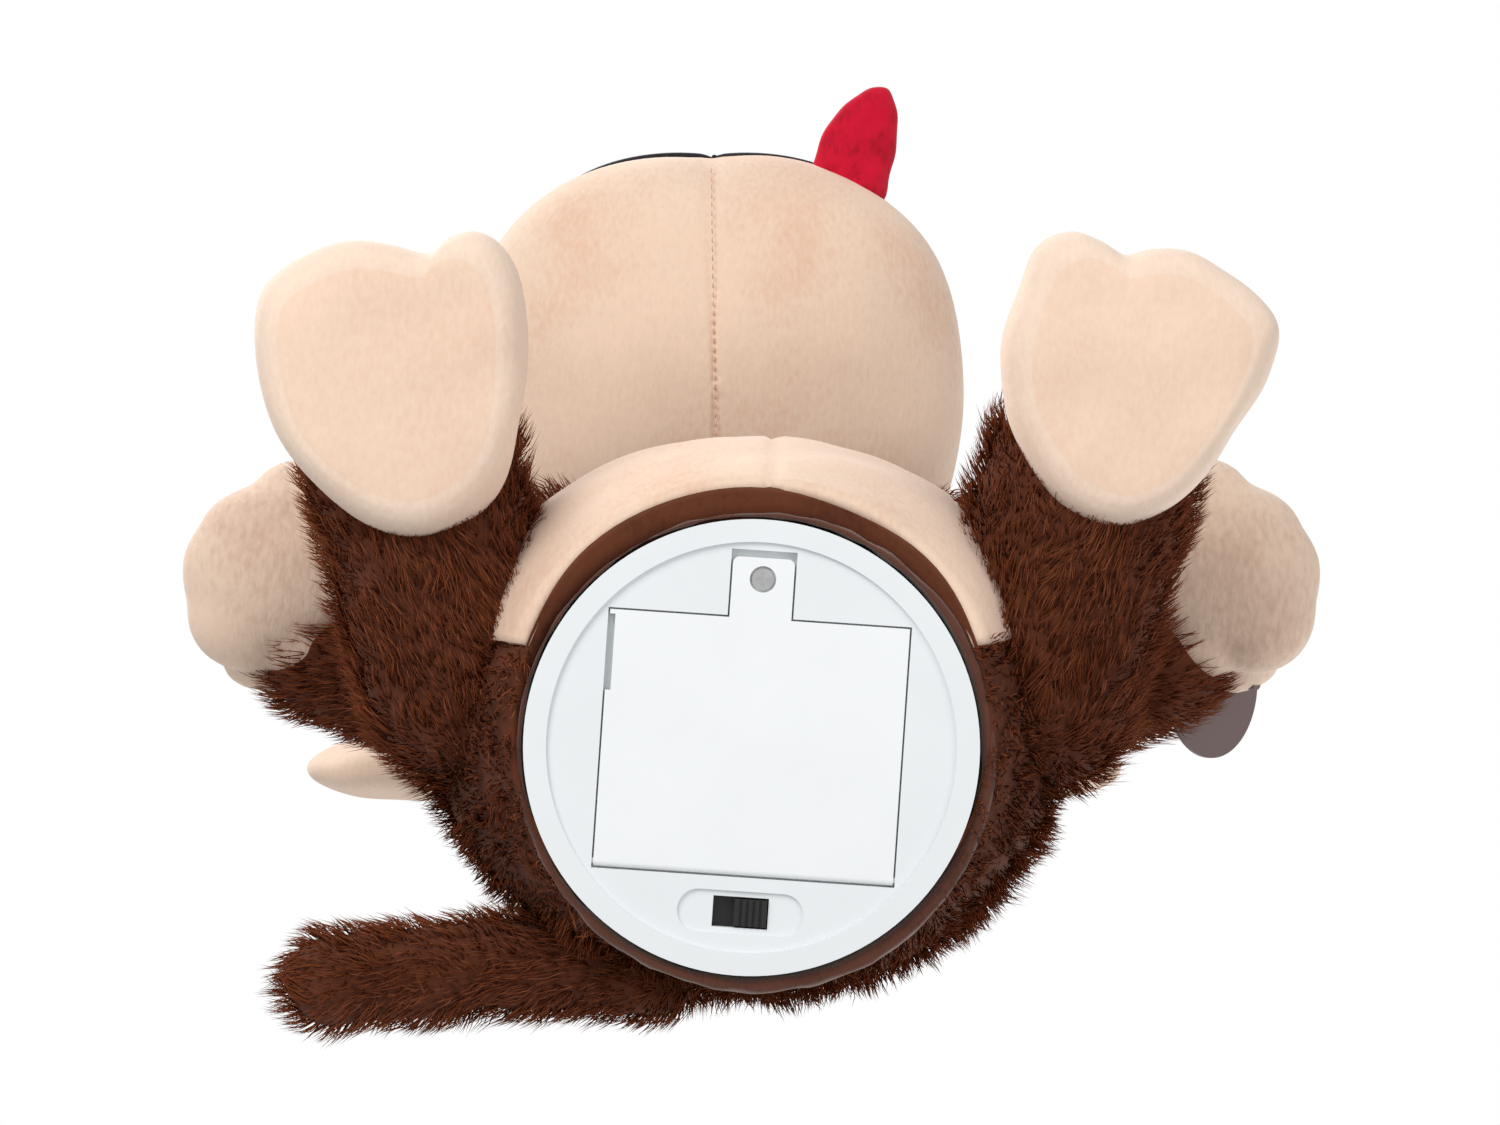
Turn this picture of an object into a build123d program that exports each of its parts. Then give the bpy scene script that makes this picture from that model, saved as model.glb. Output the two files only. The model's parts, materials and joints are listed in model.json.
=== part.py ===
from build123d import *
import math
import os

# Cymbal-playing plush monkey on a round battery base, millimetres.
# The toy stands upright: +Z up, the face and belly look along -Y, +X is on the right of
# someone facing it. The origin is the centre of the base's underside.

# ---- Overall sizes -------------------------------------------------------------------------
base_radius = 50.0
base_height = 28.0
base_turn = 3.9
body_centre_y = -5.0
body_widest_radius = 70.0
body_top_z = 139.0
arm_level_z = 110.5
head_centre = Vector(-10, 8, 205)
head_half_width = 62.0
head_radius = 57.5

# ---- Clearances ----------------------------------------------------------------------------
running_gap = 0.05
sliding_gap = 0.3
soft_gap = 0.4

# ---- Base shell and battery door -----------------------------------------------------------
wall = 2.0
recess_depth = 1.0
recess_radius = 45.0
floor_thickness = 3.2
floor_top_z = recess_depth + floor_thickness
door_width = 65.8
door_length = 56.4
door_thickness = 2.4
door_gap = 0.4
door_tab_width = 13.6
door_tab_length = 13.4
door_corner = 1.5
trunnion_radius = 0.7
trunnion_length = 1.6
finger_slot_width = 1.2
finger_slot_length = 16.7
bay_lip = 2.4
bay_height = 18.6
boss_radius = 3.0
base_screw_places = [(sx * 22.0, sy * 37.5) for sx in (-1, 1) for sy in (-1, 1)]
base_screw_radius = 1.2

# ---- Door screw ----------------------------------------------------------------------------
door_screw_y = -36.9
screw_head_radius = 2.4
screw_head_height = 1.1
screw_pocket_radius = 2.9
screw_shank_radius = 1.3
screw_boss_gap = 0.45
screw_shank_length = 5.2

# ---- Battery cells and contacts ------------------------------------------------------------
cell_radius = 7.1
cell_length = 49.2
cell_pitch = 15.2
cell_tip_radius = 2.7
cell_tip_length = 1.2
contact_thickness = 0.4
contact_width = 9.0
spring_radius = 3.6
spring_wire = 0.4

# ---- Slide switch --------------------------------------------------------------------------
switch_y = 36.3
switch_opening = (12.2, 6.8)
switch_recess = (27.8, 9.4)
switch_recess_depth = 0.8
knob_width = 7.2
knob_depth = 6.0
knob_travel = 4.5
knob_ridges = 5

# ---- Chassis and gear train ----------------------------------------------------------------
chassis_half_width = 40.0
chassis_split_y = 3.0
chassis_half_depth = 22.0
chassis_top_z = 122.0
gear_plate_z = 84.0
plate_thickness = 2.0
gear_module = 0.7
pinion_teeth = 10
reduction_teeth = 34
reduction_pinion_teeth = 12
crank_teeth = 36
stage_height = 4.0
reduction_angle = -10.0
motor_angle = 100.0
lever_plate_z = 97.5
crank_disc_z = 100.5
crank_pin_radius = 1.5
yoke_z = 104.5
yoke_thickness = 2.0
yoke_half_width = 30.0
yoke_half_depth = 10.0
guide_post_x = 14.0
guide_post_radius = 2.0
top_plate_z = 115.0
motor_radius = 10.0
motor_flat = 7.5
motor_length = 25.0
shaft_radius = 1.25
speaker_radius = 17.0
speaker_z = 56.0

# ---- Arms ----------------------------------------------------------------------------------
shoulder_x = 34.0
arm_rest_angle = -27.0
clap_angle = 60.0
lever_length = 10.0
lever_pin_slack = 0.35
arm_pin_radius = 2.0
hub_radius = 5.0
rod_width = 7.0
rod_thickness = 5.0
rod_reach = 92.0
hand_centre = Vector(112.5, -38.5, 101)
hand_radius = 25.2
hand_half_thickness = 17.0
palm_offset = Vector(1.5, 14.5, 8)
palm_half_length = 21.0
palm_radius = 12.5
thumb_offset = Vector(-4.0, -17.5, 3)
thumb_radius = 11.5
thumb_half_thickness = 10.0
sleeve_radius = 19.0
cymbal_centre = Vector(112.2, -11.2, 118)
cymbal_normal = Vector(-0.745, 0, 0.667)
left_cymbal_shift = Vector(-8, -8, 9)
cymbal_radius = 18.5
cymbal_thickness = 0.9
cymbal_dome = 2.6
stud_radius = 1.6
stud_length = 14.0

# ---- Neck ----------------------------------------------------------------------------------
neck_pivot_z = 130.0
neck_pin_radius = 2.0
neck_hub_radius = 4.5
neck_hub_half = 4.0
lug_thickness = 2.5
head_plate_z = 160.0
head_plate_radius = 25.0

# ---- Soft pieces ---------------------------------------------------------------------------
cover_thickness = 3.0
band_width = 4.5
band_height = 15.0
belly_thickness = 2.2
foot_centre_x = (-79.7, 86.0)
foot_centre_y = (-79.4, -81.0)
foot_radii = (30.6, 32.6)
foot_height = 34.0
leg_radius = 25.0
muzzle_centre = Vector(-10, -78, 172)
muzzle_radius = 65.8
muzzle_half_height = 38.0
nose_radius = 6.0
nose_half_length = 3.0
ear_reach = 75.0
ear_radius = 31.5
ear_half_thickness = 9.0
ear_centre_y = 14.0
ear_centre_z = 215.0
eye_radius = 7.5
eye_spread = 20.0
tongue_width = 20.0
tongue_thickness = 6.0
tail_radius = 12.5
tail_tip_radius = 11.0


def block(x0, x1, y0, y1, z0, z1):
    """A box between two corners."""
    centre = Location(((x0 + x1) / 2, (y0 + y1) / 2, (z0 + z1) / 2))
    return centre * Box(x1 - x0, y1 - y0, z1 - z0)


def upright(radius, z0, z1, x=0.0, y=0.0):
    """A cylinder along Z."""
    return Location((x, y, (z0 + z1) / 2)) * Cylinder(radius, z1 - z0)


def along_y(radius, y0, y1, x, z):
    """A cylinder along Y."""
    return Location((x, (y0 + y1) / 2, z), (90, 0, 0)) * Cylinder(radius, y1 - y0)


def along_x(radius, x0, x1, y, z):
    """A cylinder along X."""
    return Location(((x0 + x1) / 2, y, z), (0, 90, 0)) * Cylinder(radius, x1 - x0)


def spheroid(centre, axis, along, across):
    """An egg-like solid of revolution about one of the frame's axes, with small flat poles."""
    angles = [math.radians(degrees) for degrees in (-78, -60, -40, -20, 0, 20, 40, 60, 78)]
    side = [(across * math.cos(angle), along * math.sin(angle)) for angle in angles]
    closing = Polyline(side[-1], (0, side[-1][1]), (0, side[0][1]), side[0])
    turned = revolve(Plane.XZ * make_face(Spline(*side) + closing), Axis.Z)
    tilt = {"X": (0, 90, 0), "Y": (90, 0, 0), "Z": (0, 0, 0)}[axis]
    return Location(centre, tilt) * turned


def group(shapes):
    """Several separate solids as one piece."""
    together = shapes[0]
    for shape in shapes[1:]:
        together = together + shape
    return together


def capsule(start, end, radius):
    """A round bar with ball ends between two points."""
    axis = end - start
    plane = Plane(origin=(start + end) * 0.5, z_dir=axis)
    bar = plane * Cylinder(radius, axis.length)
    return bar + Location(start) * Sphere(radius) + Location(end) * Sphere(radius)


def mirrored(shape):
    """The same shape on the -X side."""
    return mirror(shape, about=Plane.YZ)


def based(shape):
    """Turns a piece of the base by the angle at which the base sits in the plush body."""
    return Rotation(0, 0, base_turn) * shape


def polar(radius, degrees):
    """A point at a radius and an angle about Z."""
    return Vector(radius * math.cos(math.radians(degrees)), radius * math.sin(math.radians(degrees)))


def gear(teeth, z0, z1, x, y, phase=0.0):
    """A spur gear with straight-flanked teeth, thinned for backlash."""
    pitch = gear_module * teeth / 2
    root = pitch - 1.15 * gear_module
    tip = pitch + 0.8 * gear_module
    root_width = 2.0 * gear_module * 0.72
    tip_width = 2.0 * gear_module * 0.26
    tooth = Polygon(
        (root * 0.9, -root_width / 2),
        (root, -root_width / 2),
        (tip, -tip_width / 2),
        (tip, tip_width / 2),
        (root, root_width / 2),
        (root * 0.9, root_width / 2),
        align=None,
    )
    outline = Circle(root)
    for index in range(teeth):
        outline = outline + Rotation(0, 0, phase + index * 360 / teeth) * tooth
    return Location((x, y, z0)) * extrude(outline, z1 - z0)


os.makedirs("parts", exist_ok=True)
parts = {}

# ---- Base: shell, door, screw, cells, contacts, switch -------------------------------------
rim_outer = upright(base_radius, 0, base_height - wall)
hollow = upright(base_radius - wall, floor_top_z, base_height)
base_shell = rim_outer - hollow - upright(recess_radius, -1, recess_depth)

bay_half_x = door_width / 2 - bay_lip
bay_half_y = door_length / 2 - bay_lip
bay_top_z = floor_top_z + bay_height
door_half_x = door_width / 2
door_half_y = door_length / 2
bay_outside = block(
    -bay_half_x - wall, bay_half_x + wall, -bay_half_y - wall, bay_half_y + wall, floor_top_z, bay_top_z
)
base_shell = base_shell + bay_outside
for boss_x, boss_y in base_screw_places:
    base_shell = base_shell + upright(boss_radius, floor_top_z, base_height - wall, boss_x, boss_y)
    base_shell = base_shell - upright(base_screw_radius, base_height - 14, base_height, boss_x, boss_y)
base_shell = base_shell + upright(4.2, floor_top_z, floor_top_z + 4, 0, door_screw_y)

door_top_z = recess_depth + door_thickness
pivot_y = door_half_y - door_thickness / 2
pivot_z = recess_depth + door_thickness / 2
base_shell = base_shell - block(
    -door_half_x - door_gap, door_half_x + door_gap, -door_half_y - door_gap, door_half_y + door_gap,
    -1, door_top_z + 0.2,
)
base_shell = base_shell - block(
    -bay_half_x, bay_half_x, -bay_half_y, bay_half_y, door_top_z - 1, bay_top_z - wall
)
tab_end_y = -door_half_y - door_tab_length
tab_pocket_end_y = tab_end_y - 1.6
tab_pocket = block(
    -door_tab_width / 2 - door_gap, door_tab_width / 2 + door_gap, tab_pocket_end_y, -door_half_y, -1,
    door_top_z + 0.2,
)
base_shell = base_shell - tab_pocket
base_shell = base_shell - upright(
    screw_shank_radius + screw_boss_gap, 0, floor_top_z + 5, 0, door_screw_y
)
for side in (-1, 1):
    inner = side * (door_half_x - 1)
    outer = side * (door_half_x + trunnion_length + sliding_gap)
    base_shell = base_shell - along_x(
        trunnion_radius + running_gap, min(inner, outer), max(inner, outer), pivot_y, pivot_z
    )
opening_x, opening_y = switch_opening
base_shell = base_shell - block(
    -opening_x / 2, opening_x / 2, switch_y - opening_y / 2, switch_y + opening_y / 2, 0, floor_top_z + 1
)
recess_x, recess_y = switch_recess
recess_outline = SlotOverall(recess_x, recess_y)
base_shell = base_shell - Location((0, switch_y, 0)) * extrude(
    recess_outline, recess_depth + switch_recess_depth
)
parts["base_plate"] = based(base_shell)

door = block(-door_half_x, door_half_x, -door_half_y, pivot_y, recess_depth, door_top_z)
door = door + along_x(door_thickness / 2, -door_half_x, door_half_x, pivot_y, pivot_z)
tab = block(
    -door_tab_width / 2, door_tab_width / 2, tab_end_y, -door_half_y, recess_depth, door_top_z
)
tab = fillet(tab.edges().filter_by(Axis.Z).group_by(Axis.Y)[0], door_corner)
door = door + tab
door = door + along_x(
    trunnion_radius, -door_half_x - trunnion_length, door_half_x + trunnion_length, pivot_y, pivot_z
)
door = door - upright(screw_shank_radius + sliding_gap, 0, 5, 0, door_screw_y)
pocket_floor_z = recess_depth + screw_head_height + sliding_gap
door = door - upright(screw_pocket_radius, 0, pocket_floor_z, 0, door_screw_y)
door = door - block(
    -door_half_x - 1, -door_half_x + finger_slot_width,
    -door_half_y + 1, -door_half_y + 1 + finger_slot_length, 0, 5,
)
parts["battery_door"] = based(door)

head_bottom_z = recess_depth + 0.1
head_top_z = head_bottom_z + screw_head_height
door_screw = upright(screw_head_radius, head_bottom_z, head_top_z, 0, door_screw_y)
door_screw = door_screw + upright(
    screw_shank_radius, head_top_z, head_top_z + screw_shank_length, 0, door_screw_y
)
for turn in (0, 90):
    cross = Rotation(0, 0, turn) * Box(3.0, 0.6, 1.2)
    door_screw = door_screw - Location((0, door_screw_y, head_bottom_z)) * cross
parts["door_screw"] = based(door_screw)

cell_z = door_top_z + 0.6 + cell_radius
contact_x = bay_half_x - contact_thickness
springs = []
plates = []
for number, row in enumerate((-1, 0, 1), start=1):
    facing = 1 if number % 2 else -1
    cell_y = row * cell_pitch
    spring_space = bay_half_x - contact_thickness - cell_tip_length
    plus_end = facing * (spring_space - 0.3)
    minus_end = plus_end - facing * cell_length
    cell = along_x(cell_radius, min(plus_end, minus_end), max(plus_end, minus_end), cell_y, cell_z)
    tip_end = plus_end + facing * cell_tip_length
    cell = cell + along_x(
        cell_tip_radius, min(plus_end, tip_end), max(plus_end, tip_end), cell_y, cell_z
    )
    parts[f"battery_cell_{number}"] = based(cell)
    for side in (-1, 1):
        plates.append(
            block(
                min(side * contact_x, side * bay_half_x), max(side * contact_x, side * bay_half_x),
                cell_y - contact_width / 2, cell_y + contact_width / 2, cell_z - 5, cell_z + 5,
            )
        )
    spring_length = contact_x - abs(minus_end)
    turns = 4
    coil = Helix(
        pitch=(spring_length - 2 * spring_wire - 0.4) / turns,
        height=spring_length - 2 * spring_wire - 0.4,
        radius=spring_radius,
    )
    wire = sweep(Plane(origin=coil @ 0, z_dir=coil % 0) * Circle(spring_wire), path=coil, is_frenet=True)
    spring_start = -facing * (contact_x - spring_wire - 0.2)
    springs.append(Location((spring_start, cell_y, cell_z), (0, 90 * facing, 0)) * wire)
parts["contact_plates"] = based(group(plates))
parts["contact_springs"] = based(group(springs))

knob_right = opening_x / 2 - sliding_gap
knob_left = knob_right - knob_width
flange_bottom_z = floor_top_z + sliding_gap
flange_top_z = flange_bottom_z + 1.0
knob = block(
    knob_left, knob_right, switch_y - knob_depth / 2, switch_y + knob_depth / 2,
    recess_depth + 0.2, flange_bottom_z,
)
ridge_pitch = knob_width / knob_ridges
for index in range(knob_ridges - 1):
    groove_x = knob_left + ridge_pitch * (index + 1)
    knob = knob - block(
        groove_x - 0.3, groove_x + 0.3, switch_y - knob_depth, switch_y + knob_depth, 0, recess_depth + 0.8
    )
flange_left = -opening_x / 2 - 0.9
flange_right = opening_x / 2 + 0.9 + knob_travel
knob = knob + block(flange_left, flange_right, switch_y - 4.2, switch_y + 4.2, flange_bottom_z, flange_top_z)
stem_x = (knob_left + knob_right) / 2
knob = knob + block(stem_x - 1.5, stem_x + 1.5, switch_y - 1.5, switch_y + 1.5, flange_top_z, flange_top_z + 2)
parts["switch_knob"] = based(knob)

switch_bottom_z = flange_top_z + sliding_gap
switch_body = block(-11, 11, switch_y - 4.5, switch_y + 4.5, switch_bottom_z, switch_bottom_z + 6)
switch_body = switch_body - block(
    stem_x - 1.5 - knob_travel - sliding_gap, stem_x + 1.5 + sliding_gap,
    switch_y - 1.5 - sliding_gap, switch_y + 1.5 + sliding_gap, switch_bottom_z - 1, switch_bottom_z + 2.2,
)
parts["switch_body"] = based(switch_body)

deck_bottom_z = base_height - wall
deck = upright(base_radius, deck_bottom_z, base_height)
base_screws = []
for screw_x, screw_y in base_screw_places:
    deck = deck - upright(base_screw_radius + running_gap, deck_bottom_z - 1, base_height + 1, screw_x, screw_y)
    shank = upright(base_screw_radius - running_gap, base_height - 12, base_height, screw_x, screw_y)
    base_screws.append(shank + upright(2.4, base_height, base_height + 1.6, screw_x, screw_y))
parts["base_deck"] = based(deck)
parts["base_screws"] = based(group(base_screws))

board_z = bay_top_z + 0.6
board = block(-28, 28, -20, 20, board_z, board_z + 1.2)
for chip_x, chip_y, chip_size in ((-14, 4, 9), (6, -8, 6), (17, 9, 5)):
    board = board + block(
        chip_x - chip_size / 2, chip_x + chip_size / 2, chip_y - chip_size / 2, chip_y + chip_size / 2,
        board_z + 1.2, board_z + 1.9,
    )
parts["circuit_board"] = based(board)

# ---- Chassis: two half shells round the mechanism ------------------------------------------
front_y = chassis_split_y - chassis_half_depth
rear_y = chassis_split_y + chassis_half_depth
chassis_space = block(
    -chassis_half_width, chassis_half_width, front_y, rear_y, base_height, chassis_top_z
)
case = chassis_space - block(
    -chassis_half_width + wall, chassis_half_width - wall, front_y + wall, rear_y - wall,
    base_height + wall, chassis_top_z - wall,
)
for screw_x, screw_y in base_screw_places:
    case = case - Rotation(0, 0, base_turn) * upright(3, base_height - 1, base_height + 2.4, screw_x, screw_y)
case_screw_places = [(sx * 34.0, z) for sx in (-1, 1) for z in (38.0, 76.0)]
for screw_x, screw_z in case_screw_places:
    case = case + along_y(3.6, front_y + wall, rear_y - wall, screw_x, screw_z)
    case = case - along_y(1.4, front_y + wall + 4, rear_y + 1, screw_x, screw_z)
    case = case - along_y(3.0, rear_y - 1.2, rear_y + 1, screw_x, screw_z)

shoulder = Vector(shoulder_x, chassis_split_y, 0)
rod_bottom_z = arm_level_z - rod_thickness / 2
rod_top_z = arm_level_z + rod_thickness / 2
slot_reach = body_widest_radius + 12
slot_margin = 9.0


def arm_sweep(reach, margin, z0, z1):
    """The sector of a disc that the right arm's rod swings through."""
    first = arm_rest_angle + margin
    steps = 10
    corners = [(shoulder.X, shoulder.Y)]
    for index in range(steps + 1):
        angle = first - (clap_angle + 2 * margin) * index / steps
        corner = shoulder + polar(reach, angle)
        corners.append((corner.X, corner.Y))
    room = Location((0, 0, z0)) * extrude(Polygon(*corners, align=None), z1 - z0, dir=(0, 0, 1))
    room = room + upright(hub_radius + 1, z0, z1, shoulder.X, shoulder.Y)
    bar = block(0, reach, -rod_width / 2 - 1.5, rod_width / 2 + 1.5, z0, z1)
    inner_bar = block(0, lever_length + 4, -rod_width / 2 - 1, rod_width / 2 + 1, z0, z1)
    for angle in (arm_rest_angle, arm_rest_angle - clap_angle):
        room = room + Location((shoulder.X, shoulder.Y, 0), (0, 0, angle)) * bar
    for angle in (180 + clap_angle / 2, 180, 180 - clap_angle / 2):
        room = room + Location((shoulder.X, shoulder.Y, 0), (0, 0, angle)) * inner_bar
    return room


arm_room = arm_sweep(slot_reach, slot_margin, rod_bottom_z - 1.5, rod_top_z + 1.5)
arm_rooms = arm_room + mirrored(arm_room)
case = case - (arm_rooms & block(-90, 90, -90, 90, rod_bottom_z - 1.5, rod_top_z + 1.5))
grille = [
    along_y(1.3, front_y - 1, front_y + wall + 1, gx * 5.0, speaker_z + gz * 5.0)
    for gx in (-2, -1, 0, 1, 2) for gz in (-2, -1, 0, 1, 2) if abs(gx) + abs(gz) < 4
]
case = case - grille
lug_gap = 0.2
for side in (-1, 1):
    lug_near = chassis_split_y + side * (neck_hub_half + lug_gap)
    lug_far = lug_near + side * lug_thickness
    lug = block(-6, 6, min(lug_near, lug_far), max(lug_near, lug_far), chassis_top_z - 1, neck_pivot_z)
    lug = lug + along_y(6, min(lug_near, lug_far), max(lug_near, lug_far), 0, neck_pivot_z)
    case = case + (lug - along_y(neck_pin_radius, -30, 40, 0, neck_pivot_z))
parts["chassis_front"] = case & block(-60, 60, -60, chassis_split_y, 0, 200)
parts["chassis_rear"] = case & block(-60, 60, chassis_split_y, 60, 0, 200)

case_screws = []
for screw_x, screw_z in case_screw_places:
    shank = along_y(1.3, front_y + wall + 6, rear_y - 1.2, screw_x, screw_z)
    case_screws.append(shank + along_y(2.8, rear_y - 1.2, rear_y + 0.6, screw_x, screw_z))
parts["chassis_screws"] = group(case_screws)
parts["speaker"] = along_y(speaker_radius, front_y + wall, front_y + wall + 5, 0, speaker_z) + along_y(
    speaker_radius * 0.55, front_y + wall, front_y + wall + 9, 0, speaker_z
)


def shelf(z0, thickness):
    """A plate that fills the inside of the chassis at one level."""
    return block(
        -chassis_half_width + wall, chassis_half_width - wall, front_y + wall, rear_y - wall, z0,
        z0 + thickness,
    )


crank_x = 0.0
crank_y = chassis_split_y
pinion_pitch = gear_module * pinion_teeth / 2
reduction_pitch = gear_module * reduction_teeth / 2
reduction_pinion_pitch = gear_module * reduction_pinion_teeth / 2
crank_pitch = gear_module * crank_teeth / 2
reduction_place = Vector(crank_x, crank_y) + polar(crank_pitch + reduction_pinion_pitch, reduction_angle)
motor_place = reduction_place + polar(pinion_pitch + reduction_pitch, motor_angle)
stage_one_z = gear_plate_z + plate_thickness + 1.0
stage_two_z = stage_one_z + stage_height + 0.5
motor_top_z = gear_plate_z - 0.2

gear_plate = shelf(gear_plate_z, plate_thickness)
gear_plate = gear_plate - upright(3.2, 80, 90, motor_place.X, motor_place.Y)
gear_plate = gear_plate - upright(shaft_radius + running_gap, 80, 90, crank_x, crank_y)
gear_plate = gear_plate - upright(shaft_radius, 80, 90, reduction_place.X, reduction_place.Y)
parts["gear_plate"] = gear_plate

lever_plate = shelf(lever_plate_z, plate_thickness)
lever_plate = lever_plate - upright(shaft_radius + running_gap, 90, 105, crank_x, crank_y)
lever_plate = lever_plate - upright(shaft_radius, 90, 105, reduction_place.X, reduction_place.Y)
for side in (-1, 1):
    lever_plate = lever_plate - upright(arm_pin_radius, 90, 105, side * shoulder_x, chassis_split_y)
    lever_plate = lever_plate + upright(
        guide_post_radius, lever_plate_z, yoke_z + yoke_thickness + 0.5, side * guide_post_x, crank_y
    )
parts["lever_plate"] = lever_plate

top_plate = shelf(top_plate_z, plate_thickness)
for side in (-1, 1):
    top_plate = top_plate - upright(arm_pin_radius, 110, 120, side * shoulder_x, chassis_split_y)
parts["top_plate"] = top_plate
parts["arm_pins"] = group([
    upright(arm_pin_radius, lever_plate_z, top_plate_z + plate_thickness, side * shoulder_x, chassis_split_y)
    for side in (-1, 1)
])
parts["reduction_axle"] = upright(
    shaft_radius, gear_plate_z, lever_plate_z + plate_thickness, reduction_place.X, reduction_place.Y
)

motor = upright(motor_radius, motor_top_z - motor_length, motor_top_z, motor_place.X, motor_place.Y)
motor = motor & block(
    motor_place.X - motor_radius, motor_place.X + motor_radius,
    motor_place.Y - motor_flat, motor_place.Y + motor_flat, 40, 90,
)
motor = motor + upright(3.0, motor_top_z, gear_plate_z + plate_thickness - 0.5, motor_place.X, motor_place.Y)
motor = motor - upright(1.0 + running_gap, motor_top_z - 10, 90, motor_place.X, motor_place.Y)
parts["motor"] = motor

mesh_phase = 180.0 / pinion_teeth
motor_pinion = gear(
    pinion_teeth, stage_one_z, stage_one_z + stage_height, motor_place.X, motor_place.Y,
    motor_angle + 180 + mesh_phase,
)
motor_pinion = motor_pinion + upright(
    1.0, motor_top_z - 8, stage_one_z + 1, motor_place.X, motor_place.Y
)
parts["motor_pinion"] = motor_pinion

reduction = gear(
    reduction_teeth, stage_one_z, stage_one_z + stage_height, reduction_place.X, reduction_place.Y, motor_angle
)
reduction = reduction + gear(
    reduction_pinion_teeth, stage_one_z + stage_height, stage_two_z + stage_height,
    reduction_place.X, reduction_place.Y, reduction_angle + 180 + 180.0 / reduction_pinion_teeth,
)
reduction = reduction - upright(shaft_radius + running_gap, 80, 100, reduction_place.X, reduction_place.Y)
parts["reduction_gear"] = reduction

yoke_swing = 2 * lever_length * math.sin(math.radians(clap_angle / 2))
crank_throw = yoke_swing / 2
crank_disc_top_z = crank_disc_z + 2.0
crank = gear(crank_teeth, stage_two_z, stage_two_z + stage_height, crank_x, crank_y, reduction_angle)
crank = crank + upright(shaft_radius, gear_plate_z, crank_disc_z, crank_x, crank_y)
crank = crank + upright(crank_throw + crank_pin_radius + 1.2, crank_disc_z, crank_disc_top_z, crank_x, crank_y)
crank = crank + upright(
    crank_pin_radius, crank_disc_top_z - 0.5, yoke_z - 0.5, crank_x, crank_y - crank_throw
)
parts["crank_gear"] = crank

yoke_y = crank_y - crank_throw
yoke_top_z = yoke_z + yoke_thickness
yoke = block(
    -yoke_half_width, yoke_half_width, yoke_y - yoke_half_depth, yoke_y + yoke_half_depth, yoke_z, yoke_top_z
)
yoke = yoke - block(
    -crank_throw - crank_pin_radius - sliding_gap, crank_throw + crank_pin_radius + sliding_gap,
    yoke_y - crank_pin_radius - sliding_gap, yoke_y + crank_pin_radius + sliding_gap,
    yoke_z - 1, yoke_top_z + 1,
)
lever_pin_x = shoulder_x - lever_length * math.cos(math.radians(clap_angle / 2))
lever_pin_inner_x = shoulder_x - lever_length
for side in (-1, 1):
    post_x = side * guide_post_x
    guide_half = guide_post_radius + 0.2
    yoke = yoke - block(
        post_x - guide_half, post_x + guide_half,
        yoke_y - crank_throw - guide_post_radius - 0.4, yoke_y + crank_throw + guide_post_radius + 0.4,
        yoke_z - 1, yoke_top_z + 1,
    )
    slot_in = lever_pin_inner_x - crank_pin_radius - lever_pin_slack
    slot_out = lever_pin_x + crank_pin_radius + lever_pin_slack
    slot_half = crank_pin_radius + lever_pin_slack
    yoke = yoke - block(
        min(side * slot_in, side * slot_out), max(side * slot_in, side * slot_out),
        yoke_y - slot_half, yoke_y + slot_half, yoke_z - 1, yoke_top_z + 1,
    )
parts["clap_yoke"] = yoke

# ---- Arms: lever, hand, sleeve, cymbal -----------------------------------------------------
hub_bottom_z = yoke_top_z + 0.8
hub = upright(hub_radius, hub_bottom_z, rod_top_z, shoulder.X, shoulder.Y)
lever_pin_y = shoulder.Y - lever_length * math.sin(math.radians(clap_angle / 2))
inner_arm = upright(3.0, hub_bottom_z, hub_bottom_z + 3, lever_pin_x, lever_pin_y)
inner_direction = 180 + clap_angle / 2
inner_bar = Rotation(0, 0, inner_direction) * block(0, lever_length, -2.5, 2.5, hub_bottom_z, hub_bottom_z + 3)
inner_arm = inner_arm + Location((shoulder.X, shoulder.Y, 0)) * inner_bar
lever_pin = upright(crank_pin_radius, yoke_z + 0.1, hub_bottom_z, lever_pin_x, lever_pin_y)
outer_bar = Rotation(0, 0, arm_rest_angle) * block(
    0, rod_reach, -rod_width / 2, rod_width / 2, rod_bottom_z, rod_top_z
)
outer_bar = Location((shoulder.X, shoulder.Y, 0)) * outer_bar
arm_lever = hub + inner_arm + lever_pin + outer_bar
arm_lever = arm_lever - upright(arm_pin_radius + running_gap, 90, 130, shoulder.X, shoulder.Y)

disc_profile = make_face(
    Polyline(
        (stud_radius, cymbal_dome - cymbal_thickness),
        (5, cymbal_dome - cymbal_thickness),
        (8, 0),
        (cymbal_radius, -1.0),
        (cymbal_radius, -1.0 + cymbal_thickness),
        (8, cymbal_thickness),
        (5, cymbal_dome),
        (stud_radius, cymbal_dome),
        close=True,
    )
)
disc = revolve(Plane.XZ * disc_profile, Axis.Z)
normal = cymbal_normal.normalized()
palm = spheroid(hand_centre, "Z", hand_half_thickness, hand_radius)
palm = palm + spheroid(hand_centre + palm_offset, "X", palm_half_length, palm_radius)
palm = palm + spheroid(hand_centre + thumb_offset, "Z", thumb_half_thickness, thumb_radius)

profile_levels = [
    (-14.0, 4.0),
    (-4.0, 25.0),
    (0.0, 60.0),
    (-2.5, 85.0),
    (-11.0, 108.0),
    (-19.0, 126.0),
]


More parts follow.
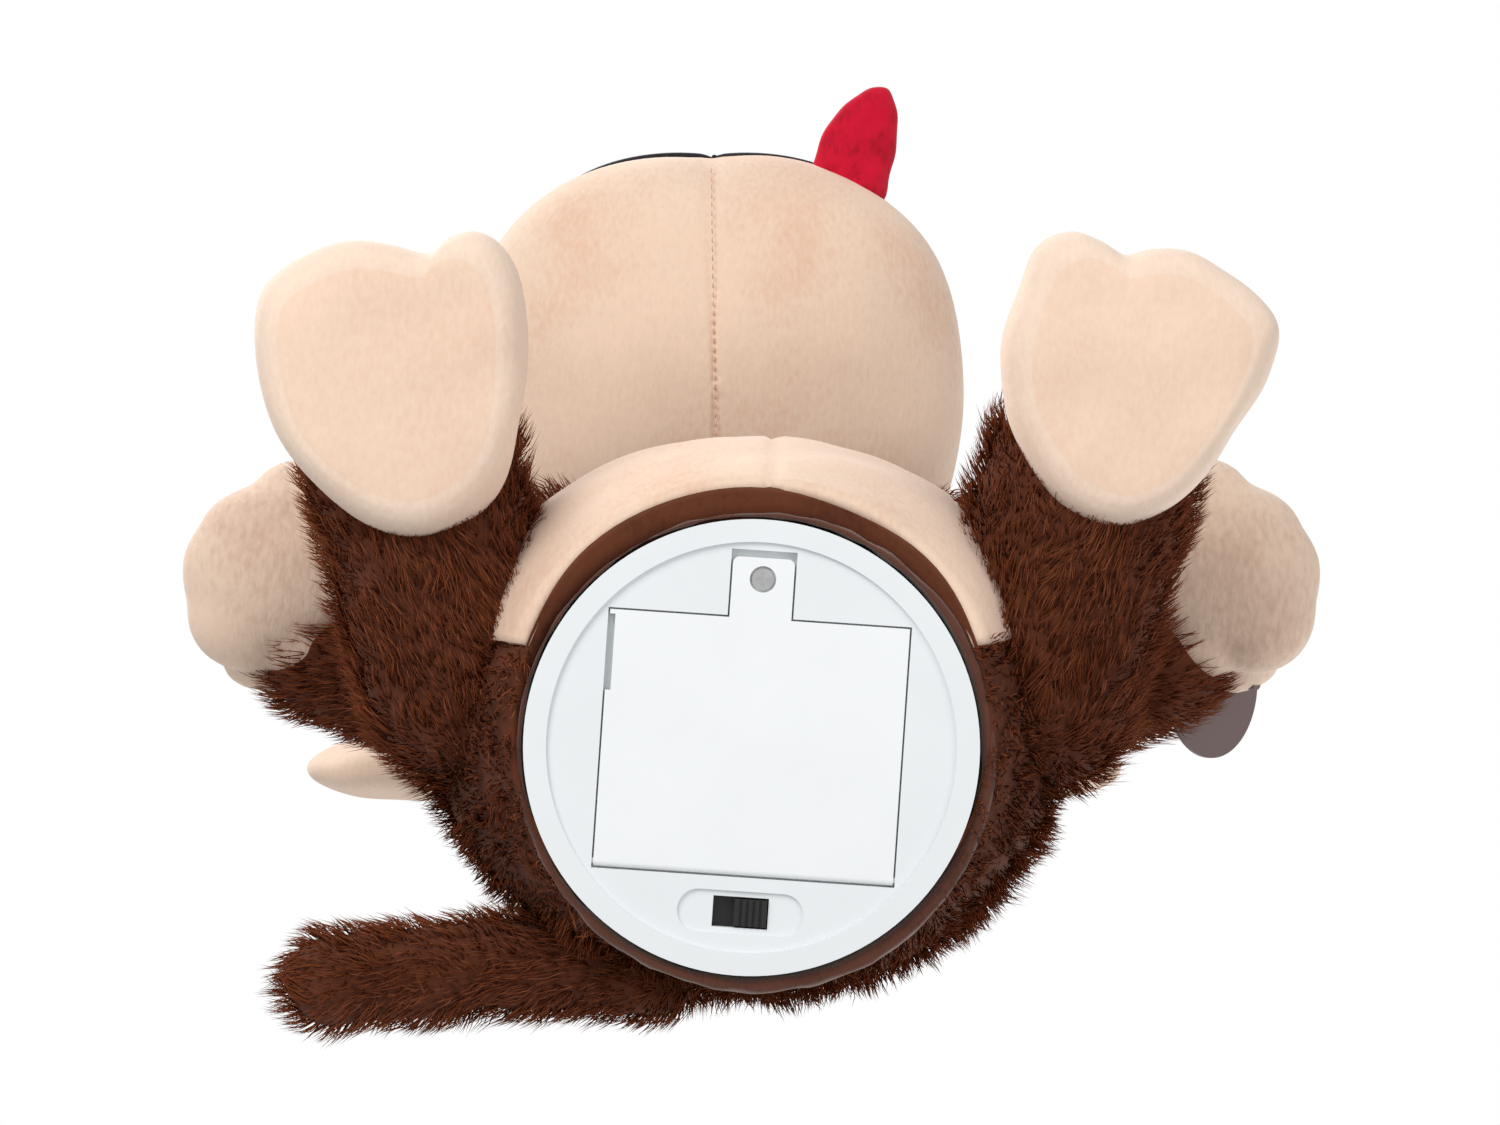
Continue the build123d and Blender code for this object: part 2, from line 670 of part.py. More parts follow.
def body_solid(inset):
    """The turned body shape, reduced all over by an inset."""
    side = [(body_widest_radius + step - inset, z) for step, z in profile_levels]
    top_radius = side[-1][0] - 12
    top_z = body_top_z - inset
    curve = Spline(*side, (top_radius, top_z))
    closing = Polyline((top_radius, top_z), (0, top_z), (0, side[0][1]), side[0])
    face = make_face(curve + closing)
    return Location((0, body_centre_y, 0)) * revolve(Plane.XZ * face, Axis.Z)


body_outside = body_solid(0)
sleeve_start = Vector(shoulder.X, shoulder.Y, arm_level_z - 3) + polar(36, arm_rest_angle)
sleeve_end = Vector(shoulder.X, shoulder.Y, arm_level_z - 6) + polar(66, arm_rest_angle)
sleeve = capsule(sleeve_start, sleeve_end, sleeve_radius)
sleeve = sleeve - body_solid(-soft_gap) - arm_lever

for side in ("right", "left"):
    centre = cymbal_centre
    if side == "left":
        centre = cymbal_centre + left_cymbal_shift
    stud_plane = Plane(origin=centre, x_dir=(0, 1, 0), z_dir=normal)
    stud = stud_plane * upright(stud_radius, -stud_length, cymbal_dome + 0.6)
    stud = stud + stud_plane * upright(3.2, cymbal_dome, cymbal_dome + 1.2)
    cymbal = stud_plane * disc
    hand = palm - arm_lever - cymbal - stud
    arm = {
        "arm_lever": arm_lever,
        "hand": hand,
        "sleeve": sleeve - hand - cymbal - stud,
        "cymbal": cymbal,
        "cymbal_stud": stud,
    }
    for name, shape in arm.items():
        if side == "left":
            shape = mirrored(shape)
        parts[name + "_" + side] = shape

# ---- Neck and head -------------------------------------------------------------------------
neck_pin_half = neck_hub_half + lug_gap + lug_thickness
parts["neck_pin"] = along_y(
    neck_pin_radius, chassis_split_y - neck_pin_half, chassis_split_y + neck_pin_half, 0, neck_pivot_z
)
head_post = along_y(
    neck_hub_radius, chassis_split_y - neck_hub_half, chassis_split_y + neck_hub_half, 0, neck_pivot_z
)
head_post = head_post + block(
    -4, 4, chassis_split_y - neck_hub_half, chassis_split_y + neck_hub_half, neck_pivot_z, head_plate_z
)
head_post = head_post + upright(head_plate_radius, head_plate_z, head_plate_z + 3, 0, chassis_split_y)
head_post = head_post - along_y(neck_pin_radius + running_gap, -30, 40, 0, neck_pivot_z)
parts["head_post"] = head_post

head_outside = spheroid(head_centre, "X", head_half_width, head_radius)
head_inside = spheroid(
    head_centre, "X", head_half_width - cover_thickness, head_radius - cover_thickness
)
eyes = [
    Location((head_centre.X + side * eye_spread, head_centre.Y - 48.5, head_centre.Z + 25))
    * Sphere(eye_radius)
    for side in (-1, 1)
]
ears = [
    spheroid(
        Vector(head_centre.X + side * ear_reach, ear_centre_y, ear_centre_z), "Y", ear_half_thickness, ear_radius
    )
    - head_outside
    for side in (-1, 1)
]
head_cover = head_outside - head_inside
head_stuffing = head_inside - head_post
for eye in eyes:
    head_cover = head_cover - eye
    head_stuffing = head_stuffing - eye
parts["head_cover"] = head_cover - head_post
parts["head_stuffing"] = head_stuffing
muzzle = spheroid(muzzle_centre, "Z", muzzle_half_height, muzzle_radius) - head_outside
nose_place = muzzle_centre + Vector(0, -46, 28)
nose_reach = Vector(nose_half_length, 0, 0)
nose = capsule(nose_place - nose_reach, nose_place + nose_reach, nose_radius)
tongue_start = Vector(26, -136, 166)
tongue_end = Vector(30, -152, 164)
tongue_axis = tongue_end - tongue_start
tongue_plane = Plane(
    origin=(tongue_start + tongue_end) * 0.5, x_dir=(tongue_axis.X, tongue_axis.Y, 0), z_dir=(0, 0, 1)
)
tongue = tongue_plane * extrude(
    SlotOverall(tongue_axis.length + tongue_width, tongue_width), tongue_thickness / 2, both=True
)
tongue = fillet(tongue.edges().filter_by(Axis.Z, reverse=True), 2.0)
muzzle = muzzle - nose - tongue
parts["muzzle"] = muzzle
parts["nose"] = nose
parts["tongue"] = tongue
parts["eye_left"], parts["eye_right"] = eyes
parts["ear_left"], parts["ear_right"] = ears

# ---- Soft body -----------------------------------------------------------------------------
neck_room = upright(14, 100, 200, 0, chassis_split_y)
base_space = upright(base_radius, -1, base_height)
band_outer_radius = base_radius + band_width
band_top_z = 1.2 + band_height
base_band = upright(band_outer_radius, 1.2, band_top_z) - upright(base_radius, 0, band_top_z + 1)
parts["base_band"] = base_band
band_space = upright(band_outer_radius, 0, band_top_z)
screw_space = based(
    group([upright(3, base_height - 1, base_height + 2.4, x, y) for x, y in base_screw_places])
)
case_bumps = along_y(3.2, rear_y - 1, rear_y + 1, case_screw_places[0][0], case_screw_places[0][1])
for screw_x, screw_z in case_screw_places[1:]:
    case_bumps = case_bumps + along_y(3.2, rear_y - 1, rear_y + 1, screw_x, screw_z)
neck_lugs = block(
    -7, 7, chassis_split_y - neck_pin_half - 0.3, chassis_split_y + neck_pin_half + 0.3, 100, body_top_z
)
body_inside = body_solid(cover_thickness)
arm_slot = arm_sweep(slot_reach, slot_margin, rod_bottom_z - 2, rod_top_z + 2)
arm_slots = arm_slot + mirrored(arm_slot)
body_cover = body_outside - body_inside - base_space - band_space - arm_slots - neck_room
parts["body_cover"] = body_cover
stuffing = body_inside - chassis_space - base_space - band_space - arm_slots - neck_room
stuffing = stuffing - neck_lugs - case_bumps - screw_space
parts["body_stuffing"] = stuffing

belly_zone = block(-66, 66, -100, -34, 18, 88)
belly = (body_solid(-belly_thickness) - body_outside) & belly_zone

legs = []
feet = []
for side, foot_x, foot_y in zip((-1, 1), foot_centre_x, foot_centre_y):
    foot = extrude(Ellipse(*foot_radii), foot_height)
    foot = fillet(foot.edges().group_by(Axis.Z)[-1], 13)
    foot = fillet(foot.edges().group_by(Axis.Z)[0], 3)
    foot = Location((foot_x, foot_y, 0)) * foot
    knee = Vector(side * 78, -60, 36.5)
    hip = Vector(side * 60, -20, 44)
    leg = capsule(knee, hip, leg_radius)
    legs.append(leg - foot - body_solid(-soft_gap))
    feet.append(foot)
for leg in legs:
    belly = belly - leg
parts["belly_panel"] = belly
parts["foot_left"], parts["foot_right"] = feet
parts["leg_left"], parts["leg_right"] = [leg - belly for leg in legs]

tail_root = Vector(-24, 53, 43)
tail_middle = Vector(-62, 50, 31)
tail_tip = Vector(-92, 52.5, 17)
tail = capsule(tail_root, tail_middle, tail_radius) + capsule(tail_middle, tail_tip, tail_tip_radius)
parts["tail"] = tail - body_solid(-soft_gap)

for name, shape in parts.items():
    export_step(shape, f"parts/{name}.step")
print(len(parts), "parts written")
print("crank throw", round(crank_throw, 3), "yoke swing", round(yoke_swing, 3))
print("reduction at", reduction_place, "motor at", motor_place)
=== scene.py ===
import json
import math

import bpy
import numpy as np
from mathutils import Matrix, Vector, kdtree


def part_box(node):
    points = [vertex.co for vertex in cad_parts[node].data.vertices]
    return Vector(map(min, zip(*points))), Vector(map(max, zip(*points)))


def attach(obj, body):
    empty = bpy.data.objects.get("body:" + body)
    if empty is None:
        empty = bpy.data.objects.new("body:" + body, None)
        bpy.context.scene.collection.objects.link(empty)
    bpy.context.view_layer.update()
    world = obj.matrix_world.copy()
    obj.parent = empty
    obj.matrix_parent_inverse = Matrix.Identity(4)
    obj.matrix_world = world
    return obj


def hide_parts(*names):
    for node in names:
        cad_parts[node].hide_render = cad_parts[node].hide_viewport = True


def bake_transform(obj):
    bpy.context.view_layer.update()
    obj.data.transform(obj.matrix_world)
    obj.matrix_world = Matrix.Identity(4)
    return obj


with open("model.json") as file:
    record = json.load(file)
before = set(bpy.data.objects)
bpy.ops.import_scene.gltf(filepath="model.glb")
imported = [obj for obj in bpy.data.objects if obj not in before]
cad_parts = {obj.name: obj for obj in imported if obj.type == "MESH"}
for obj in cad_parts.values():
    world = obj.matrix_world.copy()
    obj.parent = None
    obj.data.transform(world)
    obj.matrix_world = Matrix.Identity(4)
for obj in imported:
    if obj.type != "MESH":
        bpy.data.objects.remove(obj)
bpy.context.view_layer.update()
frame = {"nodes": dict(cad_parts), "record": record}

# Lengths below are in millimetres, and MM turns them into metres.
MM = 0.001
SIDES = {"left": -1, "right": 1}

# The body's turned shape: (radius, height), from the hem to the shoulders.
BODY_CENTRE = Vector((0, -5, 0))
BODY_LEVELS = [
    (51, 2), (55.5, 8), (64.5, 25), (70.5, 45), (71, 62), (68, 85), (60, 106), (51, 124), (38, 136), (18, 142),
]
# How much wider the body is to each side than its levels say, and how much it keeps of them in depth.
BODY_WIDER = 1.5
BODY_DEPTH_SHARE = 0.55

# The base shell's rim, with what lies round it: the band, the hem's inner edge, and the fur kept off it.
BAND_RADIUS = 52.0
BAND_INNER_RADIUS = 50.5
HEM_INNER_RADIUS = 50.6
HEM_INNER_HEIGHT = 6
FUR_CLEAR_RADIUS = 51
FUR_CLEAR_HEIGHT = 18

CREAM = (0.80, 0.60, 0.46)
CREAM_DEEP = (0.73, 0.47, 0.34)
FUR_SHADES = [(0.185, 0.049, 0.018), (0.225, 0.065, 0.027), (0.150, 0.037, 0.013), (0.265, 0.085, 0.040)]


# ---- Materials -----------------------------------------------------------------------------


def new_material(name):
    """A node material with its shader, output and object coordinates ready."""
    material = bpy.data.materials.new(name)
    material.use_nodes = True
    nodes = material.node_tree.nodes
    shader = nodes["Principled BSDF"]
    place = nodes.new("ShaderNodeTexCoord")
    return material, nodes, material.node_tree.links, shader, place


def noise_node(nodes, links, place, scale, detail, stretch=None):
    """A noise texture in object space, stretched if asked."""
    texture = nodes.new("ShaderNodeTexNoise")
    texture.inputs["Scale"].default_value = scale
    texture.inputs["Detail"].default_value = detail
    source = place.outputs["Object"]
    if stretch:
        mapping = nodes.new("ShaderNodeMapping")
        mapping.inputs["Scale"].default_value = stretch
        links.new(source, mapping.inputs["Vector"])
        source = mapping.outputs["Vector"]
    links.new(source, texture.inputs["Vector"])
    return texture


def colour_ramp(nodes, links, source, stops):
    """A ramp from a factor to colours."""
    ramp = nodes.new("ShaderNodeValToRGB")
    elements = ramp.color_ramp.elements
    while len(elements) < len(stops):
        elements.new(0.5)
    for element, (position, colour) in zip(elements, stops):
        element.position = position
        element.color = (*colour, 1)
    links.new(source, ramp.inputs["Fac"])
    return ramp


def scaled(colour, factor):
    """A colour made lighter or darker."""
    return tuple(min(1.0, channel * factor) for channel in colour)


def bump_node(nodes, links, height, strength, distance):
    """A bump from a height."""
    bump = nodes.new("ShaderNodeBump")
    bump.inputs["Strength"].default_value = strength
    bump.inputs["Distance"].default_value = distance
    links.new(height, bump.inputs["Height"])
    return bump


NAP_STRETCH = (1.0, 0.45, 0.7)
NAP_DEPTH = 0.0009
GRAIN_SHARE = 0.35
SHEEN_TINT = (1.0, 0.93, 0.88, 1)


def plush_material(name, colour, deep, nap_shade_scale=28.0, nap_scale=900.0, nap_strength=0.55, sheen=0.35):
    """Short-napped cloth: soft patches of painted shade and highlight where the nap turns, and a fine brushed
    grain.
    """
    material, nodes, links, shader, place = new_material(name)
    # The patches paint the shade and highlight that turning nap gives. Mixed with the fine grain, they set
    # both the colour and the bump.
    nap_shade_patches = noise_node(nodes, links, place, nap_shade_scale, 4.0)
    grain = noise_node(nodes, links, place, nap_scale, 4.0, NAP_STRETCH)
    shade_and_grain = nodes.new("ShaderNodeMath")
    shade_and_grain.operation = "MULTIPLY_ADD"
    shade_and_grain.inputs[1].default_value = GRAIN_SHARE
    links.new(grain.outputs["Fac"], shade_and_grain.inputs[0])
    nap_shade_part = nodes.new("ShaderNodeMath")
    nap_shade_part.operation = "MULTIPLY"
    nap_shade_part.inputs[1].default_value = 1 - GRAIN_SHARE
    links.new(nap_shade_patches.outputs["Fac"], nap_shade_part.inputs[0])
    links.new(nap_shade_part.outputs[0], shade_and_grain.inputs[2])
    # The ramp's darkest stop paints the nap's shade and its lightest stop the nap's highlight; the grain runs
    # between them.
    stops = [(0.30, deep), (0.50, colour), (0.72, scaled(colour, 1.10))]
    ramp = colour_ramp(nodes, links, shade_and_grain.outputs[0], stops)
    links.new(ramp.outputs["Color"], shader.inputs["Base Color"])
    bump = bump_node(nodes, links, shade_and_grain.outputs[0], nap_strength, NAP_DEPTH)
    links.new(bump.outputs["Normal"], shader.inputs["Normal"])
    shader.inputs["Roughness"].default_value = 0.92
    shader.inputs["Specular IOR Level"].default_value = 0.15
    shader.inputs["Sheen Weight"].default_value = sheen
    shader.inputs["Sheen Roughness"].default_value = 0.55
    shader.inputs["Sheen Tint"].default_value = SHEEN_TINT
    return material


SPARK_DEPTH = 0.0003


def plastic_material(name, colour, roughness=0.35, variation=0.04, grain=1400.0, coat=0.0):
    """Moulded plastic with a faint mottle and a fine spark-eroded grain."""
    material, nodes, links, shader, place = new_material(name)
    mottle = noise_node(nodes, links, place, 45.0, 5.0)
    stops = [(0.3, scaled(colour, 1 - variation)), (0.7, scaled(colour, 1 + variation))]
    ramp = colour_ramp(nodes, links, mottle.outputs["Fac"], stops)
    links.new(ramp.outputs["Color"], shader.inputs["Base Color"])
    fine = noise_node(nodes, links, place, grain, 2.0)
    bump = bump_node(nodes, links, fine.outputs["Fac"], 0.06, SPARK_DEPTH)
    links.new(bump.outputs["Normal"], shader.inputs["Normal"])
    shader.inputs["Roughness"].default_value = roughness
    shader.inputs["Coat Weight"].default_value = coat
    return material


STREAK_STRETCH = (1.0, 1.0, 0.08)


def metal_material(name, colour, roughness):
    """Plated or turned metal with faint streaks."""
    material, nodes, links, shader, place = new_material(name)
    streaks = noise_node(nodes, links, place, 300.0, 4.0, STREAK_STRETCH)
    ramp = colour_ramp(nodes, links, streaks.outputs["Fac"], [(0.3, scaled(colour, 0.8)), (0.7, colour)])
    links.new(ramp.outputs["Color"], shader.inputs["Base Color"])
    shader.inputs["Metallic"].default_value = 1.0
    shader.inputs["Roughness"].default_value = roughness
    return material


def strand_material(name, colour):
    """One shade of pile fibre."""
    material = bpy.data.materials.new(name)
    material.use_nodes = True
    shader = material.node_tree.nodes["Principled BSDF"]
    shader.inputs["Base Color"].default_value = (*colour, 1)
    shader.inputs["Roughness"].default_value = 0.7
    shader.inputs["Specular IOR Level"].default_value = 0.05
    return material


cream = plush_material("cream_plush", CREAM, CREAM_DEEP)
# The foot's walls and top take a whiter cream than its sole. This is painted highlight along the sole's
# rounded rim.
cream_highlit_wall = plush_material("cream_foot_plush", (0.82, 0.64, 0.51), (0.78, 0.56, 0.43), 26.0)
cream_sole = plush_material("cream_sole_plush", (0.82, 0.60, 0.46), (0.77, 0.52, 0.39), 26.0)
cream_hand = plush_material("cream_hand_plush", scaled(CREAM, 0.97), (0.60, 0.40, 0.30), 22.0, 700.0, 0.8)
red = plush_material("red_plush", (0.56, 0.003, 0.028), (0.33, 0.001, 0.012), 160.0, 900.0, 0.7, 0.15)
band_brown = plush_material("band_pile", (0.105, 0.036, 0.021), (0.060, 0.019, 0.010), 60.0, 1500.0, 0.6, 0.3)
skin_brown = plush_material("fur_ground", (0.115, 0.032, 0.013), (0.070, 0.018, 0.007), 70.0, 800.0, 0.7, 0.1)
THREAD_LOOK = (400.0, 3000.0, 0.3, 0.1)
stitch = plush_material("stitch_thread", (0.70, 0.42, 0.31), (0.60, 0.33, 0.24), *THREAD_LOOK)
mouth_thread = plush_material("mouth_thread", (0.020, 0.018, 0.022), (0.010, 0.009, 0.011), *THREAD_LOOK)
white_plastic = plastic_material("base_plastic", (0.80, 0.83, 0.845), 0.34, 0.015)
door_plastic = plastic_material("door_plastic", (0.86, 0.88, 0.885), 0.40, 0.015)
chassis_plastic = plastic_material("chassis_plastic", (0.55, 0.56, 0.56), 0.45)
gear_plastic = plastic_material("gear_plastic", (0.85, 0.84, 0.78), 0.35)
dark_plastic = plastic_material("dark_plastic", (0.012, 0.011, 0.011), 0.42, 0.2, 2500.0)
eye_plastic = plastic_material("eye_plastic", (0.010, 0.007, 0.006), 0.08, 0.1, 300.0, 1.0)
# The cymbal's dull mauve-brown base colour is painted reflection. It stands for a plated face that mirrors the
# brown fur and the white room.
cymbal_plastic = plastic_material("cymbal_plastic", (0.170, 0.118, 0.115), 0.30, 0.05, 500.0, 0.1)
board_green = plastic_material("circuit_board", (0.05, 0.22, 0.08), 0.4, 0.2)
steel = metal_material("plated_steel", (0.78, 0.78, 0.79), 0.28)
cell_metal = metal_material("cell_jacket", (0.30, 0.31, 0.33), 0.35)
stuffing_white = plush_material("stuffing", (0.85, 0.85, 0.84), (0.7, 0.7, 0.7), 60.0, 400.0)
fur_materials = [strand_material(f"fibre_{index}", shade) for index, shade in enumerate(FUR_SHADES, start=1)]

SLOT_MATERIALS = {
    "shell_plastic": white_plastic, "dark_plastic": dark_plastic, "chassis_plastic": chassis_plastic,
    "gear_plastic": gear_plastic, "steel": steel, "board": board_green, "cell": cell_metal,
    "fur_brown": skin_brown, "pile_brown": band_brown, "plush_cream": cream, "plush_red": red,
    "stuffing": stuffing_white, "eye_plastic": eye_plastic, "cymbal_plastic": cymbal_plastic,
}


def dress_cad_nodes():
    """Gives every CAD node the material of its slot."""
    for part in frame["record"]["subparts"]:
        node = frame["nodes"][part["node"]]
        material = SLOT_MATERIALS[part["material_slot"]]
        if part["node"] == "battery_door":
            material = door_plastic
        node.data.materials.clear()
        node.data.materials.append(material)


# ---- Mesh helpers --------------------------------------------------------------------------


def add_object(name, vertices, faces, materials=()):
    """A smooth-shaded mesh object from millimetre coordinates."""
    mesh = bpy.data.meshes.new(name)
    mesh.from_pydata([tuple(Vector(v) * MM) for v in vertices], [], faces)
    mesh.update()
    mesh.polygons.foreach_set("use_smooth", [True] * len(mesh.polygons))
    thing = bpy.data.objects.new(name, mesh)
    bpy.context.scene.collection.objects.link(thing)
    for material in materials:
        mesh.materials.append(material)
    return thing


def settle(thing):
    """Applies the object's modifiers to its mesh."""
    graph = bpy.context.evaluated_depsgraph_get()
    graph.update()
    mesh = bpy.data.meshes.new_from_object(thing.evaluated_get(graph))
    thing.modifiers.clear()
    old = thing.data
    thing.data = mesh
    bpy.data.meshes.remove(old)
    mesh.polygons.foreach_set("use_smooth", [True] * len(mesh.polygons))


def unit_ball(rings=24, segments=40):
    """Vertices and faces of a unit ball."""
    vertices = [(0, 0, 1)]
    for ring in range(1, rings):
        polar = math.pi * ring / rings
        wide = math.sin(polar)
        for segment in range(segments):
            turn = 2 * math.pi * segment / segments
            vertices.append((wide * math.cos(turn), wide * math.sin(turn), math.cos(polar)))
    vertices.append((0, 0, -1))
    faces = []
    for segment in range(segments):
        after = (segment + 1) % segments
        faces.append((0, 1 + segment, 1 + after))
        for ring in range(rings - 2):
            a = 1 + ring * segments
            faces.append((a + segment, a + segments + segment, a + segments + after, a + after))
        last = 1 + (rings - 2) * segments
        faces.append((last + after, last + segment, len(vertices) - 1))
    return vertices, faces


def blob(name, lumps, voxel, material, smooth_steps=8):
    """A soft form: ellipsoids, given as (centre, radii), melted into one skin."""
    vertices, faces = [], []
    ball_vertices, ball_faces = unit_ball()
    for centre, radii in lumps:
        offset = len(vertices)
        for vertex in ball_vertices:
            point = Vector((vertex[0] * radii[0], vertex[1] * radii[1], vertex[2] * radii[2]))
            vertices.append(point + Vector(centre))
        faces.extend(tuple(index + offset for index in face) for face in ball_faces)
    thing = add_object(name, vertices, faces)
    remesh = thing.modifiers.new("melt", "REMESH")
    remesh.mode = "VOXEL"
    remesh.voxel_size = voxel * MM
    soften = thing.modifiers.new("soften", "SMOOTH")
    soften.factor = 0.6
    soften.iterations = smooth_steps
    settle(thing)
    thing.data.materials.append(material)
    return thing


def coordinates(thing):
    """The mesh's points in millimetres."""
    flat = np.zeros(len(thing.data.vertices) * 3, np.float64)
    thing.data.vertices.foreach_get("co", flat)
    return flat.reshape(-1, 3) / MM


def set_coordinates(thing, points):
    """Writes the mesh's points, given in millimetres."""
    thing.data.vertices.foreach_set("co", (points * MM).astype(np.float32).ravel())
    thing.data.update()


def normals_of(thing):
    """Unit normals at the mesh's points."""
    flat = np.zeros(len(thing.data.vertices) * 3, np.float32)
    thing.data.vertices.foreach_get("normal", flat)
    return flat.reshape(-1, 3).astype(np.float64)


WAVE_COUNT = 7
WAVE_SCALE = 3.2


def waves(points, wavelength, seed):
    """Smooth random values from about -1 to 1 at points, from a few seeded waves."""
    random = np.random.default_rng(seed)
    total = np.zeros(len(points))
    for _ in range(WAVE_COUNT):
        direction = random.normal(size=3)
        direction /= np.linalg.norm(direction)
        size = random.uniform(0.7, 1.5)
        total += np.sin(points @ direction * (2 * math.pi / (wavelength * size)) + random.uniform(0, 6.28))
    return total / WAVE_SCALE


def ruffle(thing, height, wavelength, seed):
    """Moves the skin in and out a little, so that stuffing shows through it."""
    points = coordinates(thing)
    set_coordinates(thing, points + normals_of(thing) * (height * waves(points, wavelength, seed))[:, None])


def groove(distance, depth, width):
    """How deep a rounded groove is at distances from its middle line."""
    return depth * np.exp(-((distance / width) ** 2))


def crease(thing, distance, depth, width):
    """Presses a seam into the skin along the zero of a distance function."""
    points = coordinates(thing)
    press = groove(distance(points), depth, width)
    set_coordinates(thing, points - normals_of(thing) * press[:, None])


def ring_faces(rings, sides, inside_out=False):
    """Faces between closed rings of points that follow each other."""
    faces = []
    for ring in range(rings - 1):
        a, b = ring * sides, (ring + 1) * sides
        for side in range(sides):
            after = (side + 1) % sides
            if inside_out:
                faces.append((a + side, b + side, b + after, a + after))
            else:
                faces.append((a + side, a + after, b + after, b + side))
    return faces


def squarer(value, power):
    """A sine or cosine pushed towards its ends, which makes a round section squarer."""
    return math.copysign(abs(value) ** power, value)


THREAD_SIDES = 8


def tube(name, points, radius, material):
    """A round thread through points, thinned at its ends."""
    path = [Vector(point) for point in points]
    count = len(path)
    vertices = []
    for index, point in enumerate(path):
        before, after = path[max(index - 1, 0)], path[min(index + 1, count - 1)]
        forward = (after - before).normalized()
        across = forward.orthogonal().normalized()
        if index:
            across = (previous - forward * previous.dot(forward)).normalized()
        previous = across
        other = forward.cross(across)
        end = min(index, count - 1 - index)
        size = radius if end > 1 else radius * (0.45 + 0.35 * end)
        for side in range(THREAD_SIDES):
            turn = 2 * math.pi * side / THREAD_SIDES
            vertices.append(point + (across * math.cos(turn) + other * math.sin(turn)) * size)
    faces = ring_faces(count, THREAD_SIDES)
    faces.append(tuple(reversed(range(THREAD_SIDES))))
    faces.append(tuple(range((count - 1) * THREAD_SIDES, count * THREAD_SIDES)))
    return add_object(name, vertices, faces, [material])


# ---- Fur -----------------------------------------------------------------------------------

# A fibre is a three-sided spike: three points at its root, three at its middle and one at its tip.
FIBRE_POINTS = 7
FIBRE_CORNERS = (0.0, 2.0944, 4.1888)
FIBRE_FACES = [(0, 1, 4, 3), (1, 2, 5, 4), (2, 0, 3, 5), (3, 4, 6), (4, 5, 6), (5, 3, 6), (2, 1, 0)]
FIBRE_WIDTH = 0.36
FIBRE_WAIST = 0.72
FIBRE_SUNK = 0.4
FIBRES_PER_PIECE = 18000

# Which way a fibre heads: shares of the skin's normal, the combing, slow swirls and chance.
LIFT_SHARE, COMB_SHARE, SWIRL_SHARE, CHANCE_SHARE = 0.6, 0.75, 0.28, 0.17
BEND_SHARE = 0.45
SWIRL_LENGTH = 16.0

# Fibres lean towards the nearest clump's tip, and there is a clump for each so many fibres.
CLUMPING = 0.42
FIBRES_PER_CLUMP = 14

# Limits between the four fibre shades, from darkest to lightest, and the shades' places in FUR_SHADES.
SHADE_LIMITS = (-0.75, 0.45, 1.15)
SHADE_ORDER = (2, 0, 1, 3)
LOWEST_FIBRE = 0.3


def scatter(thing, spacing, seed, keep=None):
    """Random places on the skin, about one for each spacing squared, with their normals."""
    mesh = thing.data
    mesh.calc_loop_triangles()
    corners = np.zeros(len(mesh.loop_triangles) * 3, np.int32)
    mesh.loop_triangles.foreach_get("vertices", corners)
    corners = corners.reshape(-1, 3)
    points, normals = coordinates(thing), normals_of(thing)
    a, b, c = (points[corners[:, column]] for column in range(3))
    areas = np.linalg.norm(np.cross(b - a, c - a), axis=1) / 2
    random = np.random.default_rng(seed)
    count = int(areas.sum() / spacing**2)
    chosen = random.choice(len(areas), count, p=areas / areas.sum())
    u, v = random.random(count), random.random(count)
    over = u + v > 1
    u[over], v[over] = 1 - u[over], 1 - v[over]
    w = 1 - u - v
    roots = a[chosen] * w[:, None] + b[chosen] * u[:, None] + c[chosen] * v[:, None]
    ups = sum(normals[corners[chosen, column]] * share[:, None] for column, share in ((0, w), (1, u), (2, v)))
    ups /= np.linalg.norm(ups, axis=1)[:, None] + 1e-9
    if keep is not None:
        wanted = keep(roots)
        roots, ups = roots[wanted], ups[wanted]
    return roots, ups, random


def unit(vectors):
    """The vectors at length one."""
    return vectors / (np.linalg.norm(vectors, axis=1)[:, None] + 1e-9)


